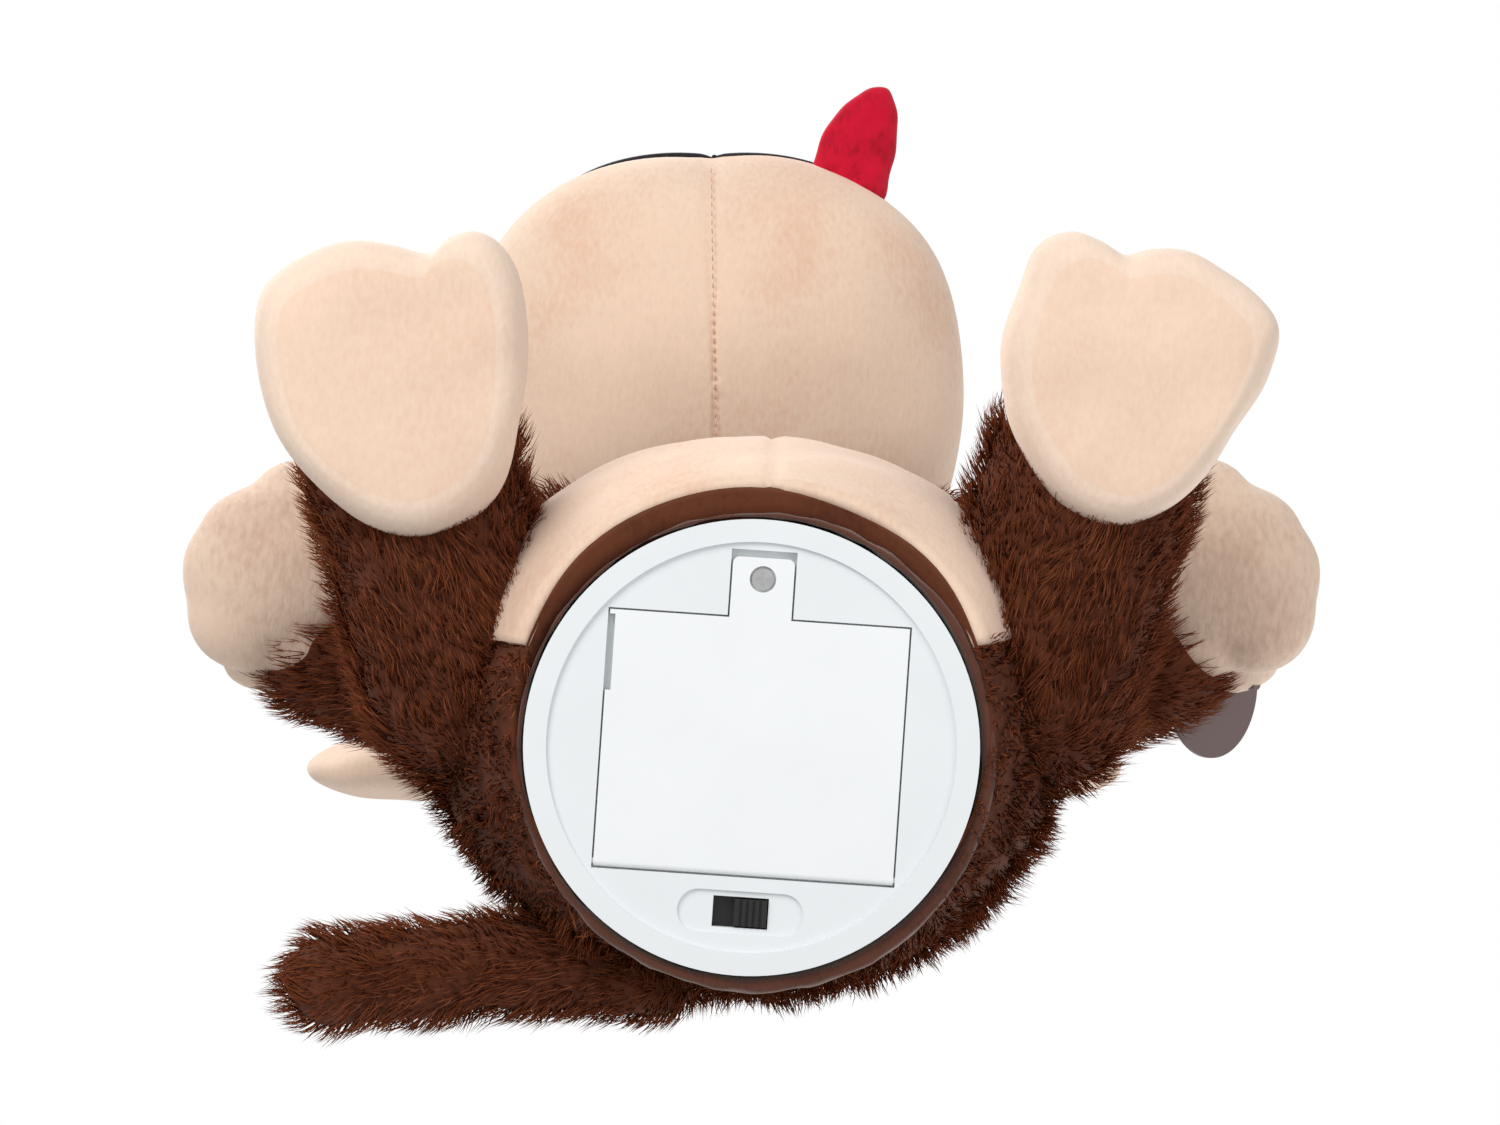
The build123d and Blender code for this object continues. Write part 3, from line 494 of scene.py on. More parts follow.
def fibre_shapes(thing, comb, length, spacing, seed, keep):
    """The fibres' seven points each, in metres, and the shade of each fibre."""
    roots, ups, random = scatter(thing, spacing, seed, keep)
    count = len(roots)
    flow = comb(roots)
    flow = unit(flow - ups * (flow * ups).sum(1)[:, None])
    swirl = np.stack([waves(roots, SWIRL_LENGTH, seed + shift) for shift in (1, 2, 3)], 1)
    jitter = random.normal(size=(count, 3))
    heading = unit(ups * LIFT_SHARE + flow * COMB_SHARE + swirl * SWIRL_SHARE + jitter * CHANCE_SHARE)
    reach = length * (0.75 + 0.35 * random.random(count) + 0.12 * waves(roots, 22.0, seed + 5))
    middle = roots + heading * (reach * 0.5)[:, None]
    tips = middle + unit(heading + flow * BEND_SHARE) * (reach * 0.5)[:, None]

    guides = np.arange(0, count, FIBRES_PER_CLUMP)
    tree = kdtree.KDTree(len(guides))
    for index in guides:
        tree.insert(Vector(roots[index]), int(index))
    tree.balance()
    nearest = np.array([tree.find(Vector(root))[1] for root in roots])
    tips += (tips[nearest] - tips) * (CLUMPING * (0.5 + 0.5 * random.random(count)))[:, None]

    side = unit(np.cross(heading, jitter))
    other = np.cross(heading, side)
    corners = [side * math.cos(turn) + other * math.sin(turn) for turn in FIBRE_CORNERS]
    half = FIBRE_WIDTH / 2 * (0.8 + 0.4 * random.random(count))[:, None]
    low = [roots - ups * FIBRE_SUNK + corner * half for corner in corners]
    high = [middle + corner * half * FIBRE_WAIST for corner in corners]
    strands = keep_off_base(np.stack([*low, *high, tips], 1) * MM)

    light = waves(roots, 34.0, seed + 9) * 0.5 + random.normal(size=count) * 0.75
    return strands, np.array(SHADE_ORDER)[np.digitize(light, SHADE_LIMITS)]


def keep_off_base(strands):
    """Lifts fibres off the floor, and pushes the low ones out of the base."""
    strands[:, :, 2] = np.maximum(strands[:, :, 2], LOWEST_FIBRE * MM)
    radial = np.hypot(strands[:, :, 0], strands[:, :, 1])
    outward = np.maximum(FUR_CLEAR_RADIUS * MM / (radial + 1e-9), 1.0)
    pushed = np.where(strands[:, :, 2] < FUR_CLEAR_HEIGHT * MM, outward, 1.0)
    strands[:, :, :2] *= pushed[:, :, None]
    return strands


def fibre_mesh(name, strands, shades):
    """One object that holds a batch of fibres."""
    starts = np.cumsum([0] + [len(face) for face in FIBRE_FACES])
    flat_faces = np.concatenate([np.array(face) for face in FIBRE_FACES])
    number = len(strands)
    mesh = bpy.data.meshes.new(name)
    mesh.vertices.add(number * FIBRE_POINTS)
    mesh.vertices.foreach_set("co", strands.astype(np.float32).ravel())
    mesh.loops.add(number * len(flat_faces))
    loops = (np.arange(number)[:, None] * FIBRE_POINTS + flat_faces[None, :]).ravel()
    mesh.loops.foreach_set("vertex_index", loops.astype(np.int32))
    mesh.polygons.add(number * len(FIBRE_FACES))
    offsets = np.arange(number)[:, None] * len(flat_faces) + starts[None, :-1]
    mesh.polygons.foreach_set("loop_start", offsets.astype(np.int32).ravel())
    for material in fur_materials:
        mesh.materials.append(material)
    slots = np.repeat(shades, len(FIBRE_FACES))
    mesh.polygons.foreach_set("material_index", slots.astype(np.int32))
    mesh.update(calc_edges=True)
    mesh.polygons.foreach_set("use_smooth", [True] * len(mesh.polygons))
    piece = bpy.data.objects.new(name, mesh)
    bpy.context.scene.collection.objects.link(piece)
    return piece


def grow_fur(name, thing, comb, length, spacing, seed, place, keep=None):
    """Pile fibres on a skin: tapered spikes, combed one way and drawn into clumps."""
    strands, shades = fibre_shapes(thing, comb, length, spacing, seed, keep)
    for part, first in enumerate(range(0, len(strands), FIBRES_PER_PIECE), start=1):
        batch = slice(first, first + FIBRES_PER_PIECE)
        piece = fibre_mesh(f"{name}_{part}", strands[batch], shades[batch])
        place(piece)


def riding(body):
    """A way to fix a piece to one body."""
    return lambda piece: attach(piece, body)


# ---- Body, belly and band ------------------------------------------------------------------


def body_radius(height):
    """The body's radius at a height, or at an array of heights."""
    levels = np.array(BODY_LEVELS, float)
    return np.interp(height, levels[:, 1], levels[:, 0])


def body_depth(radius):
    """The body's radius from front to back, where it is flatter than across."""
    return np.minimum(radius, BAND_RADIUS + (radius - BAND_RADIUS) * BODY_DEPTH_SHARE)


def eased(a, a_slope, b, b_slope, t):
    """A smooth run from a to b with given slopes at its ends, at the share t."""
    start = (2 * t**3 - 3 * t**2 + 1) * a + (t**3 - 2 * t**2 + t) * a_slope
    return start + (3 * t**2 - 2 * t**3) * b + (t**3 - t**2) * b_slope


def smooth_profile(steps):
    """The body's levels as a smooth line of (radius, height)."""
    levels = np.array(BODY_LEVELS, float)
    share = np.linspace(0, len(levels) - 1, steps)
    whole = np.minimum(share.astype(int), len(levels) - 2)
    columns = []
    for values in levels.T:
        slopes = np.gradient(values)
        after = whole + 1
        columns.append(eased(values[whole], slopes[whole], values[after], slopes[after], share - whole))
    return np.stack(columns, 1)


BODY_SEGMENTS = 96
BODY_ROWS = 56


def make_body():
    """The furry body skin, closed at the hem and at the neck."""
    profile = smooth_profile(BODY_ROWS)
    turns = [2 * math.pi * segment / BODY_SEGMENTS for segment in range(BODY_SEGMENTS)]
    vertices = []
    for radius, height in profile:
        for turn in turns:
            x = (radius + BODY_WIDER) * math.cos(turn)
            y = float(body_depth(radius)) * math.sin(turn)
            vertices.append((BODY_CENTRE.x + x, BODY_CENTRE.y + y, height))
    faces = ring_faces(BODY_ROWS, BODY_SEGMENTS)
    neck = len(vertices)
    vertices.append((BODY_CENTRE.x, BODY_CENTRE.y, profile[-1][1] + 1))
    top = (BODY_ROWS - 1) * BODY_SEGMENTS
    for segment in range(BODY_SEGMENTS):
        faces.append((top + segment, top + (segment + 1) % BODY_SEGMENTS, neck))
    hem = len(vertices)
    for turn in turns:
        x, y = HEM_INNER_RADIUS * math.cos(turn), HEM_INNER_RADIUS * math.sin(turn)
        vertices.append((x, y, HEM_INNER_HEIGHT))
    for segment in range(BODY_SEGMENTS):
        after = (segment + 1) % BODY_SEGMENTS
        faces.append((after, segment, hem + segment, hem + after))
    body = add_object("body_plush", vertices, faces, [skin_brown])
    ruffle(body, 1.0, 45.0, 11)
    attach(body, "base")
    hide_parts("body_cover", "body_stuffing")
    return body


# The belly panel: how far round it goes (degrees from the front) at some heights, its lowest and
# highest edge, its two faces' places outside the body, how much it puffs, and its seam.
BELLY_HEIGHTS = (3, 14, 24, 40, 62, 85, 104)
BELLY_REACHES = (70, 71, 69, 62, 52, 38, 4)
BELLY_LOW, BELLY_HIGH, BELLY_PEAK = 3.2, 103.5, 104
BELLY_OUTSIDE, BELLY_INSIDE = 1.0, -1.2
BELLY_PUFF = 1.3
BELLY_TAPER = 14.0
BELLY_SEAM_X = 5.0
BELLY_COLUMNS, BELLY_ROWS = 90, 60


def belly_reach(height):
    """How far round from the front the cream panel goes at a height, in degrees."""
    return np.interp(height, BELLY_HEIGHTS, BELLY_REACHES)


def belly_points():
    """The panel's outer and inner faces, row by row from the bottom."""
    vertices = []
    for offset, puffs in ((BELLY_OUTSIDE, True), (BELLY_INSIDE, False)):
        for height in np.linspace(BELLY_LOW, BELLY_HIGH, BELLY_ROWS):
            reach = float(belly_reach(height))
            radius = float(body_radius(height))
            fullness = max(0.0, min(1.0, (BELLY_PEAK - height) / BELLY_TAPER))
            for column in range(BELLY_COLUMNS + 1):
                share = 2 * column / BELLY_COLUMNS - 1
                angle = math.radians(-90 + share * reach)
                edge = 1 - abs(share) ** 4
                out = offset * (1.0 + BELLY_PUFF * edge * fullness if puffs else 1.0)
                x = (radius + out + BODY_WIDER) * math.cos(angle)
                y = (float(body_depth(radius)) + out) * math.sin(angle)
                vertices.append((BODY_CENTRE.x + x, BODY_CENTRE.y + y, height))
    return vertices


def make_belly():
    """The cream panel: a puffed sheet over the body's front, tucked in at its edge."""
    faces = []
    wide = BELLY_COLUMNS + 1
    layer = wide * BELLY_ROWS
    for row in range(BELLY_ROWS - 1):
        for column in range(BELLY_COLUMNS):
            a = row * wide + column
            faces.append((a, a + 1, a + wide + 1, a + wide))
            b = a + layer
            faces.append((b, b + wide, b + wide + 1, b + 1))
    for column in range(BELLY_COLUMNS):
        faces.append((column + 1, column, column + layer, column + layer + 1))
        top = (BELLY_ROWS - 1) * wide + column
        faces.append((top, top + 1, top + layer + 1, top + layer))
    for row in range(BELLY_ROWS - 1):
        a = row * wide
        faces.append((a, a + wide, a + wide + layer, a + layer))
        b = a + BELLY_COLUMNS
        faces.append((b + wide, b, b + layer, b + wide + layer))
    belly = add_object("belly_panel_cloth", belly_points(), faces, [cream])
    crease(belly, lambda points: points[:, 0] - BELLY_SEAM_X, 1.0, 1.1)
    ruffle(belly, 0.5, 26.0, 21)
    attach(belly, "base")
    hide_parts("belly_panel")


# The band's thickness, which is greatest at one place round the base, and the shape of its section.
BAND_THICKNESS = 2.4
BAND_THICKER = 1.7
BAND_THICKEST_AT = 50
BAND_WAVES = 9
BAND_WAVE_HEIGHT = 0.15
BAND_SQUARENESS = 0.7
BAND_RAISED = 1.4
BAND_TRIM = 0.6
BAND_SEGMENTS, BAND_SIDES = 160, 18


def make_band():
    """The short-piled band round the base: a soft ring, a little off-centre."""
    vertices, faces = [], []
    band_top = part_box("base_band")[1].z / MM
    for segment in range(BAND_SEGMENTS):
        turn = 2 * math.pi * segment / BAND_SEGMENTS
        thicker = BAND_THICKER * math.cos(turn - math.radians(BAND_THICKEST_AT))
        outward = BAND_THICKNESS + thicker + BAND_WAVE_HEIGHT * math.sin(BAND_WAVES * turn)
        for side in range(BAND_SIDES):
            around = 2 * math.pi * side / BAND_SIDES
            out, up = (squarer(value, BAND_SQUARENESS) for value in (math.cos(around), math.sin(around)))
            radius = BAND_INNER_RADIUS + outward / 2 + outward / 2 * out
            height = BAND_RAISED + band_top / 2 + (band_top / 2 - BAND_TRIM) * up
            vertices.append((radius * math.cos(turn), radius * math.sin(turn), height))
    for segment in range(BAND_SEGMENTS):
        a, b = segment * BAND_SIDES, (segment + 1) % BAND_SEGMENTS * BAND_SIDES
        for side in range(BAND_SIDES):
            above = (side + 1) % BAND_SIDES
            faces.append((a + side, b + side, b + above, a + above))
    band = add_object("base_band_pile", vertices, faces, [band_brown])
    ruffle(band, 0.25, 9.0, 31)
    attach(band, "base")
    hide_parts("base_band")


FUR_LOW = 3
FUR_ABOVE_BELLY = 103
FUR_BELLY_GAP = 0.5
BAND_REGION_HEIGHT = 25


def furry(points):
    """True where the body has fur: outside the band and clear of the cream panel."""
    x, y, height = points.T
    angle = np.degrees(np.arctan2(x - BODY_CENTRE.x, -(y - BODY_CENTRE.y)))
    under_belly = (np.abs(angle) < belly_reach(height) + FUR_BELLY_GAP) & (height < FUR_ABOVE_BELLY)
    in_band = (height < BAND_REGION_HEIGHT) & (np.hypot(x, y) < BAND_RADIUS)
    return ~under_belly & ~in_band & (height > FUR_LOW)


def downward(points):
    """Combed down towards the base."""
    flow = np.zeros_like(points)
    flow[:, 2] = -1.0
    return flow


def along(start, end):
    """Combed from one point to another."""
    direction = np.array(Vector(end) - Vector(start))
    return lambda points: np.tile(direction, (len(points), 1))


# ---- Legs and feet -------------------------------------------------------------------------

# The soles' outlines, from a few points that a smooth line goes through, seen from above.
FOOT_OUTLINES = {
    "left": [
        (-18, -29.5), (-9, -32.2), (0, -31.4), (8.5, -29.6), (13, -33.2), (19, -34.8), (24.5, -32.0),
        (28.5, -24), (30, -10), (29, 6), (25.5, 19), (18, 28), (6.5, 32.4), (-6, 29.5), (-18, 21), (-26, 10),
        (-30, -6), (-30.4, -17), (-27, -24),
    ],
    "right": [
        (-26, -24), (-22, -30.5), (-15, -33), (-8.5, -30.8), (-3.5, -27.4), (2, -28.4), (10, -28.2),
        (17, -25), (25, -19), (30.4, -11), (28, -1), (22, 10), (15, 20.5), (6, 29), (-6, 32.6), (-17, 28),
        (-25, 18), (-30.2, 6), (-30.6, -8),
    ],
}
# A foot's section as (share of the outline, height): the sole panel, its rim, the wall and the top.
FOOT_LEVELS = [
    (0.25, 0.02), (0.5, 0.05), (0.70, 0.20), (0.80, 0.55), (0.86, 1.0), (0.885, 1.7), (0.93, 2.6),
    (0.975, 5.5), (1.0, 10.0), (1.0, 15.0), (0.97, 21.0), (0.90, 26.5), (0.78, 31.0), (0.58, 34.5),
    (0.34, 36.4), (0.12, 37.0),
]
FOOT_BOTTOM, FOOT_TOP = 0.02, 37.3
FOOT_TOP_SHIFT = 2.5
SOLE_HEIGHT = 0.6
SOLE_RIM_HEIGHT = 6.0


def closed_curve(points, count):
    """A smooth closed line through a few points."""
    base = np.array(points, float)
    number = len(base)
    where = np.linspace(0, number, count, endpoint=False)
    index = where.astype(int)
    t = (where - index)[:, None]
    p0, p1, p2, p3 = (base[(index + shift) % number] for shift in (-1, 0, 1, 2))
    bend, twist = 2 * p0 - 5 * p1 + 4 * p2 - p3, 3 * p1 - p0 - 3 * p2 + p3
    return 0.5 * (2 * p1 + (p2 - p0) * t + bend * t**2 + twist * t**3)


def make_foot(side, seed):
    """A stuffed foot: a flat sole panel, rounded walls with a seam under them, and a domed top."""
    low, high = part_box(f"foot_{side}")
    centre = (low + high) / 2 / MM
    outline = closed_curve(FOOT_OUTLINES[side], 120)
    vertices, faces = [(centre.x, centre.y, FOOT_BOTTOM)], []
    size = len(outline)
    for share, height in FOOT_LEVELS:
        lean = 1.5 * max(0.0, height - 10) / 20
        for x, y in outline:
            vertices.append((centre.x + x * share, centre.y + y * share + lean, height))
    vertices.append((centre.x, centre.y + FOOT_TOP_SHIFT, FOOT_TOP))
    for index in range(size):
        after = (index + 1) % size
        faces.append((0, 1 + after, 1 + index))
        for ring in range(len(FOOT_LEVELS) - 1):
            a, b = 1 + ring * size, 1 + (ring + 1) * size
            faces.append((a + index, a + after, b + after, b + index))
        last = 1 + (len(FOOT_LEVELS) - 1) * size
        faces.append((last + index, last + after, len(vertices) - 1))
    foot = add_object(f"foot_{side}_plush", vertices, faces, [cream_highlit_wall, cream_sole])
    # Faces above the sole take the whiter cream, which is a painted highlight on the rim.
    for face in foot.data.polygons:
        face.material_index = 1 if face.center.z < SOLE_HEIGHT * MM else 0
    divide = foot.modifiers.new("divide", "SUBSURF")
    divide.levels = 1
    settle(foot)
    points = coordinates(foot)
    lift = np.clip(points[:, 2] / SOLE_RIM_HEIGHT, 0, 1)
    swell = 0.7 * waves(points, 30.0, seed) * lift
    dimple = 0.35 * (1 + waves(points, 17.0, seed + 1)) * (1 - lift)
    points = points + normals_of(foot) * (swell - dimple)[:, None]
    points[:, 2] = np.maximum(points[:, 2], 0.0)
    set_coordinates(foot, points)
    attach(foot, "base")
    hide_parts(f"foot_{side}")


def lumps_between(start, end, count, radii_at):
    """Ellipsoids in a row, with radii that depend on how far along they are."""
    shares = [step / (count - 1) for step in range(count)]
    return [(start.lerp(end, share), radii_at(share)) for share in shares]


def mirrored(point, side):
    """A point of the right side, or its mirror image for the left side."""
    return Vector((SIDES[side] * point[0], point[1], point[2]))


def side_seed(seed, side):
    """A seed that differs between the two sides."""
    return seed if side == "left" else seed + 1


# Centre lines and lumps of the limbs, for the right side.
LEG_LINE = ((76, -58, 33), (63, -12, 42))
LEG_COMB = ((63, -12, 55), (78, -62, 8))
TAIL_LINE = (Vector((-22, 53, 44)), Vector((-60, 50, 30)), Vector((-93, 52.5, 16)))
TAIL_RADII = (10.5, 10.0, 10.5)
SHOULDER_LUMPS = [((47, -38, 107), (17, 18, 17)), ((44, -10, 108), (20, 22, 18))]


def make_leg(side):
    """A furry leg from the foot back and up to the body's side."""
    start, end = (mirrored(point, side) for point in LEG_LINE)
    lumps = lumps_between(start, end, 7, lambda share: (23.5, 23.0, 24.0 + 4 * share))
    leg = blob(f"leg_{side}_plush", lumps, 1.6, skin_brown)
    ruffle(leg, 0.8, 24.0, side_seed(41, side))
    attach(leg, "base")
    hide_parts(f"leg_{side}")
    return leg


def make_tail():
    """The tail: a thick furry roll with a blunt end."""
    lumps = []
    for start, end in zip(TAIL_LINE, TAIL_LINE[1:]):
        lumps += lumps_between(start, end, 8, lambda share: TAIL_RADII)
    tail = blob("tail_plush", lumps, 1.4, skin_brown)
    ruffle(tail, 0.6, 18.0, 51)
    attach(tail, "base")
    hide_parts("tail")
    return tail


def make_shoulder(side):
    """The furry root of an arm, at the front of the shoulder."""
    lumps = [(mirrored(centre, side), radii) for centre, radii in SHOULDER_LUMPS]
    shoulder = blob(f"shoulder_{side}_plush", lumps, 1.6, skin_brown)
    ruffle(shoulder, 0.7, 20.0, side_seed(45, side))
    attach(shoulder, "base")
    return shoulder


# ---- Arms ----------------------------------------------------------------------------------

# An arm leaves its shoulder at an angle, forward of straight out, and rises in y towards the hand.
SHOULDER = (34, 3, 110.5)
ARM_ANGLE = 27
ARM_ROOT = 8
ARM_REACH = {"left": 76, "right": 70}
ARM_BACKWARD = Vector((0, 9, 0))
SLEEVE_RADIUS = 20.5
SLEEVE_BARE = 12

# The mitten as (centre, radii): palm, outer edge, heel of the hand, thumb and finger tips.
HAND_LUMPS = [
    ((113.5, -37, 101), (24.0, 19.5, 16.5)), ((121, -29.5, 101), (15.5, 15.5, 13.5)),
    ((108, -23, 102), (12, 11, 11)), ((109, -55, 103), (12, 10.5, 10.5)), ((117, -46, 101), (16, 13.5, 13.5)),
    ((118, -17, 112), (11, 8, 9)),
]


def make_sleeve(side):
    """The furry sleeve, from the shoulder out to the hand."""
    shoulder = mirrored(SHOULDER, side)
    angle = math.radians(ARM_ANGLE)
    heading = Vector((SIDES[side] * math.cos(angle), -math.sin(angle), 0))
    start, end = shoulder + heading * ARM_ROOT, shoulder + heading * ARM_REACH[side] + ARM_BACKWARD
    lumps = lumps_between(start, end, 9, lambda share: (SLEEVE_RADIUS - share,) * 3)
    sleeve = blob(f"sleeve_{side}_plush", lumps, 1.5, skin_brown)
    ruffle(sleeve, 0.7, 22.0, side_seed(61, side))

    def bend(piece):
        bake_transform(piece)

    grow_fur(
        f"sleeve_{side}_fur", sleeve, along(shoulder, end), 8.5, 1.30, side_seed(63, side), bend,
        keep=lambda points: (points - np.array(shoulder)) @ np.array(heading) > SLEEVE_BARE,
    )
    bend(sleeve)
    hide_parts(f"sleeve_{side}")


def make_hand(side, body):
    """The cream mitten."""
    lumps = [(mirrored(centre, side), radii) for centre, radii in HAND_LUMPS]
    hand = blob(f"hand_{side}_plush", lumps, 1.3, cream_hand, 14)
    ruffle(hand, 0.35, 22.0, side_seed(71, side))
    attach(hand, body)
    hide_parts(f"hand_{side}")


# ---- Head ----------------------------------------------------------------------------------

HEAD = Vector((-10, 8, 205))
MUZZLE = Vector((-10, -84, 171))
MUZZLE_RADII = (64.0, 61.0, 37.0)
MUZZLE_POWER = 2.45
CHIN_SEAM_DEPTH = 0.9

# The mouth: two arches from a middle height, whose outer ends turn up.
MOUTH_HEIGHT = 178.0
MOUTH_HALF_WIDTH = 44.0
ARCH_WIDTH = 36.0
ARCH_DEPTH = 7.0
MOUTH_END_RISE = 14.0
MOUTH_DEPTH = 1.3
MOUTH_MIDDLE_LOW = 173.5

# The chin's stitches, along y.
STITCH_COUNT = 46
STITCH_FROM = -140
STITCH_PITCH = 2.3
STITCH_STEP = 0.36


def make_muzzle():
    """The big cream lower face: a squarish ball with a seam under the chin."""
    vertices, faces = unit_ball(90, 140)
    points = np.array(vertices)
    size = (np.abs(points) ** MUZZLE_POWER).sum(1) ** (-1 / MUZZLE_POWER)
    points = points * size[:, None] * np.array(MUZZLE_RADII) + np.array(MUZZLE)
    muzzle = add_object("muzzle_plush", points, faces, [cream])
    points = coordinates(muzzle)
    x, y, height = points.T
    seam = x - seam_x(y)
    below = np.clip((MUZZLE.z + 6 - height) / 10, 0, 1)
    press = below * (groove(seam, CHIN_SEAM_DEPTH, 0.8) + groove(seam, CHIN_SEAM_DEPTH, 9.0))
    front = (y < MUZZLE.y - 20) & (np.abs(x - MUZZLE.x) < MOUTH_HALF_WIDTH)
    press = press + front * groove(height - mouth_height(x), MOUTH_DEPTH, 1.6)
    swell = 0.7 * waves(points, 38.0, 81)
    set_coordinates(muzzle, points + normals_of(muzzle) * (swell - press)[:, None])
    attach(muzzle, "head")
    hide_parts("muzzle")


def seam_x(y):
    """Where the chin seam runs across, for a place along the chin."""
    return MUZZLE.x + 1.0 + 0.02 * (y - MUZZLE.y)


def mouth_height(x):
    """The height of the two-arched mouth line at a place across the face."""
    share = np.abs(x - MUZZLE.x) / ARCH_WIDTH
    arch = ARCH_DEPTH * np.sin(math.pi * np.minimum(share, 1.0))
    return MOUTH_HEIGHT - arch + MOUTH_END_RISE * np.maximum(share - 1.0, 0.0)


def on_muzzle(x, z=None, y=None, outward=0.0):
    """A point on the muzzle's skin: from x and z on its front, or from x and y on its underside."""
    across = abs((x - MUZZLE.x) / MUZZLE_RADII[0]) ** MUZZLE_POWER
    if z is not None:
        up = abs((z - MUZZLE.z) / MUZZLE_RADII[2]) ** MUZZLE_POWER
        depth = max(0.0, 1 - across - up) ** (1 / MUZZLE_POWER)
        return Vector((x, MUZZLE.y - MUZZLE_RADII[1] * depth - outward, z))
    forward = abs((y - MUZZLE.y) / MUZZLE_RADII[1]) ** MUZZLE_POWER
    depth = max(0.0, 1 - across - forward) ** (1 / MUZZLE_POWER)
    return Vector((x, y, MUZZLE.z - MUZZLE_RADII[2] * depth - outward))


def make_face_lines():
    """The chin's stitch line and the embroidered mouth."""
    for index in range(STITCH_COUNT):
        start_y = STITCH_FROM + index * STITCH_PITCH
        points = []
        for step in range(5):
            y = start_y + step * STITCH_STEP
            outward = -0.75 + 0.25 * math.sin(math.pi * step / 4)
            points.append(on_muzzle(float(seam_x(y)), y=y, outward=outward))
        piece = tube(f"chin_stitch_{index + 1}", points, 0.22, stitch)
        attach(piece, "head")
    for side, sign in SIDES.items():
        points = []
        for step in range(29):
            x = MUZZLE.x + sign * MOUTH_HALF_WIDTH * step / 28
            points.append(on_muzzle(x, z=float(mouth_height(x)), outward=-0.2))
        piece = tube(f"mouth_{side}", points, 1.15, mouth_thread)
        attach(piece, "head")
    heights = [MOUTH_MIDDLE_LOW + 1.5 * step for step in range(9)]
    points = [on_muzzle(MUZZLE.x + 0.5, z=height, outward=-0.2) for height in heights]
    piece = tube("mouth_middle", points, 0.9, mouth_thread)
    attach(piece, "head")


HEAD_LUMPS = [(HEAD, (60, 55, 57)), (HEAD + Vector((0, 2, -14)), (56, 52, 40))]
HEAD_COMB_FROM = HEAD + Vector((0, -70, 30))
EYE_PATCH_RADIUS = 10.5
EAR_RADII = (29.5, 8.6, 30)
EAR_ROOT_RADII = (22, 8.2, 24)
EAR_ROOT_INWARD = 14


def make_head():
    """The brown ball of the head."""
    head = blob("head_plush", HEAD_LUMPS, 2.2, skin_brown, 6)
    ruffle(head, 1.0, 40.0, 91)
    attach(head, "head")
    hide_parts("head_cover", "head_stuffing")
    return head


def bare_of_eyes(points):
    """True where the head has fur: all over, but for a patch round each eye."""
    clear = np.ones(len(points), bool)
    for side in SIDES:
        low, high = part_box(f"eye_{side}")
        eye = np.array((low + high) / 2 / MM)
        clear &= np.linalg.norm(points - eye, axis=1) > EYE_PATCH_RADIUS
    return clear


def make_ears():
    """Round, flat, cream ears."""
    for side, sign in SIDES.items():
        low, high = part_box(f"ear_{side}")
        middle = (low + high) / 2 / MM
        root = middle - Vector((sign * EAR_ROOT_INWARD, 0, 0))
        ear = blob(f"ear_{side}_front", [(middle, EAR_RADII), (root, EAR_ROOT_RADII)], 1.3, cream, 5)
        ruffle(ear, 0.4, 18.0, 95)
        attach(ear, "head")
        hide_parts(f"ear_{side}")


# The tongue as (y, left edge, right edge, half thickness), from its root to its tip.
TONGUE_STATIONS = [
    (-130, 14.5, 34.0, 3.4), (-138, 14.8, 35.2, 3.6), (-144, 15.8, 36.4, 3.7), (-149, 18.0, 37.3, 3.6),
    (-153, 20.2, 37.5, 3.4), (-157, 23.6, 37.0, 3.0), (-160, 27.4, 35.9, 2.3), (-161.6, 30.2, 34.4, 1.3),
]
TONGUE_HEIGHT = 166
TONGUE_SLOPE = 0.06
TONGUE_SIDES = 40


def make_tongue():
    """The red tongue at the right of the mouth, leaning outwards."""
    root_y = TONGUE_STATIONS[0][0]
    vertices = []
    for y, left, right, thick in TONGUE_STATIONS:
        for side in range(TONGUE_SIDES):
            turn = 2 * math.pi * side / TONGUE_SIDES
            x = (left + right) / 2 + (right - left) / 2 * squarer(math.cos(turn), 0.8)
            height = TONGUE_HEIGHT + TONGUE_SLOPE * (y - root_y) + thick * math.sin(turn)
            vertices.append((x, y, height))
    faces = ring_faces(len(TONGUE_STATIONS), TONGUE_SIDES, inside_out=True)
    faces.append(tuple(range(TONGUE_SIDES)))
    faces.append(tuple(reversed(range(len(vertices) - TONGUE_SIDES, len(vertices)))))
    tongue = add_object("tongue_plush", vertices, faces, [red])
    divide = tongue.modifiers.new("divide", "SUBSURF")
    divide.levels = 2
    settle(tongue)
    ruffle(tongue, 0.25, 7.0, 99)
    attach(tongue, "head")
    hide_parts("tongue")


# ---- Stage, light and camera ---------------------------------------------------------------


FLOOR_HALF_SIZE = 6000
FLOOR_HEIGHT = -0.3


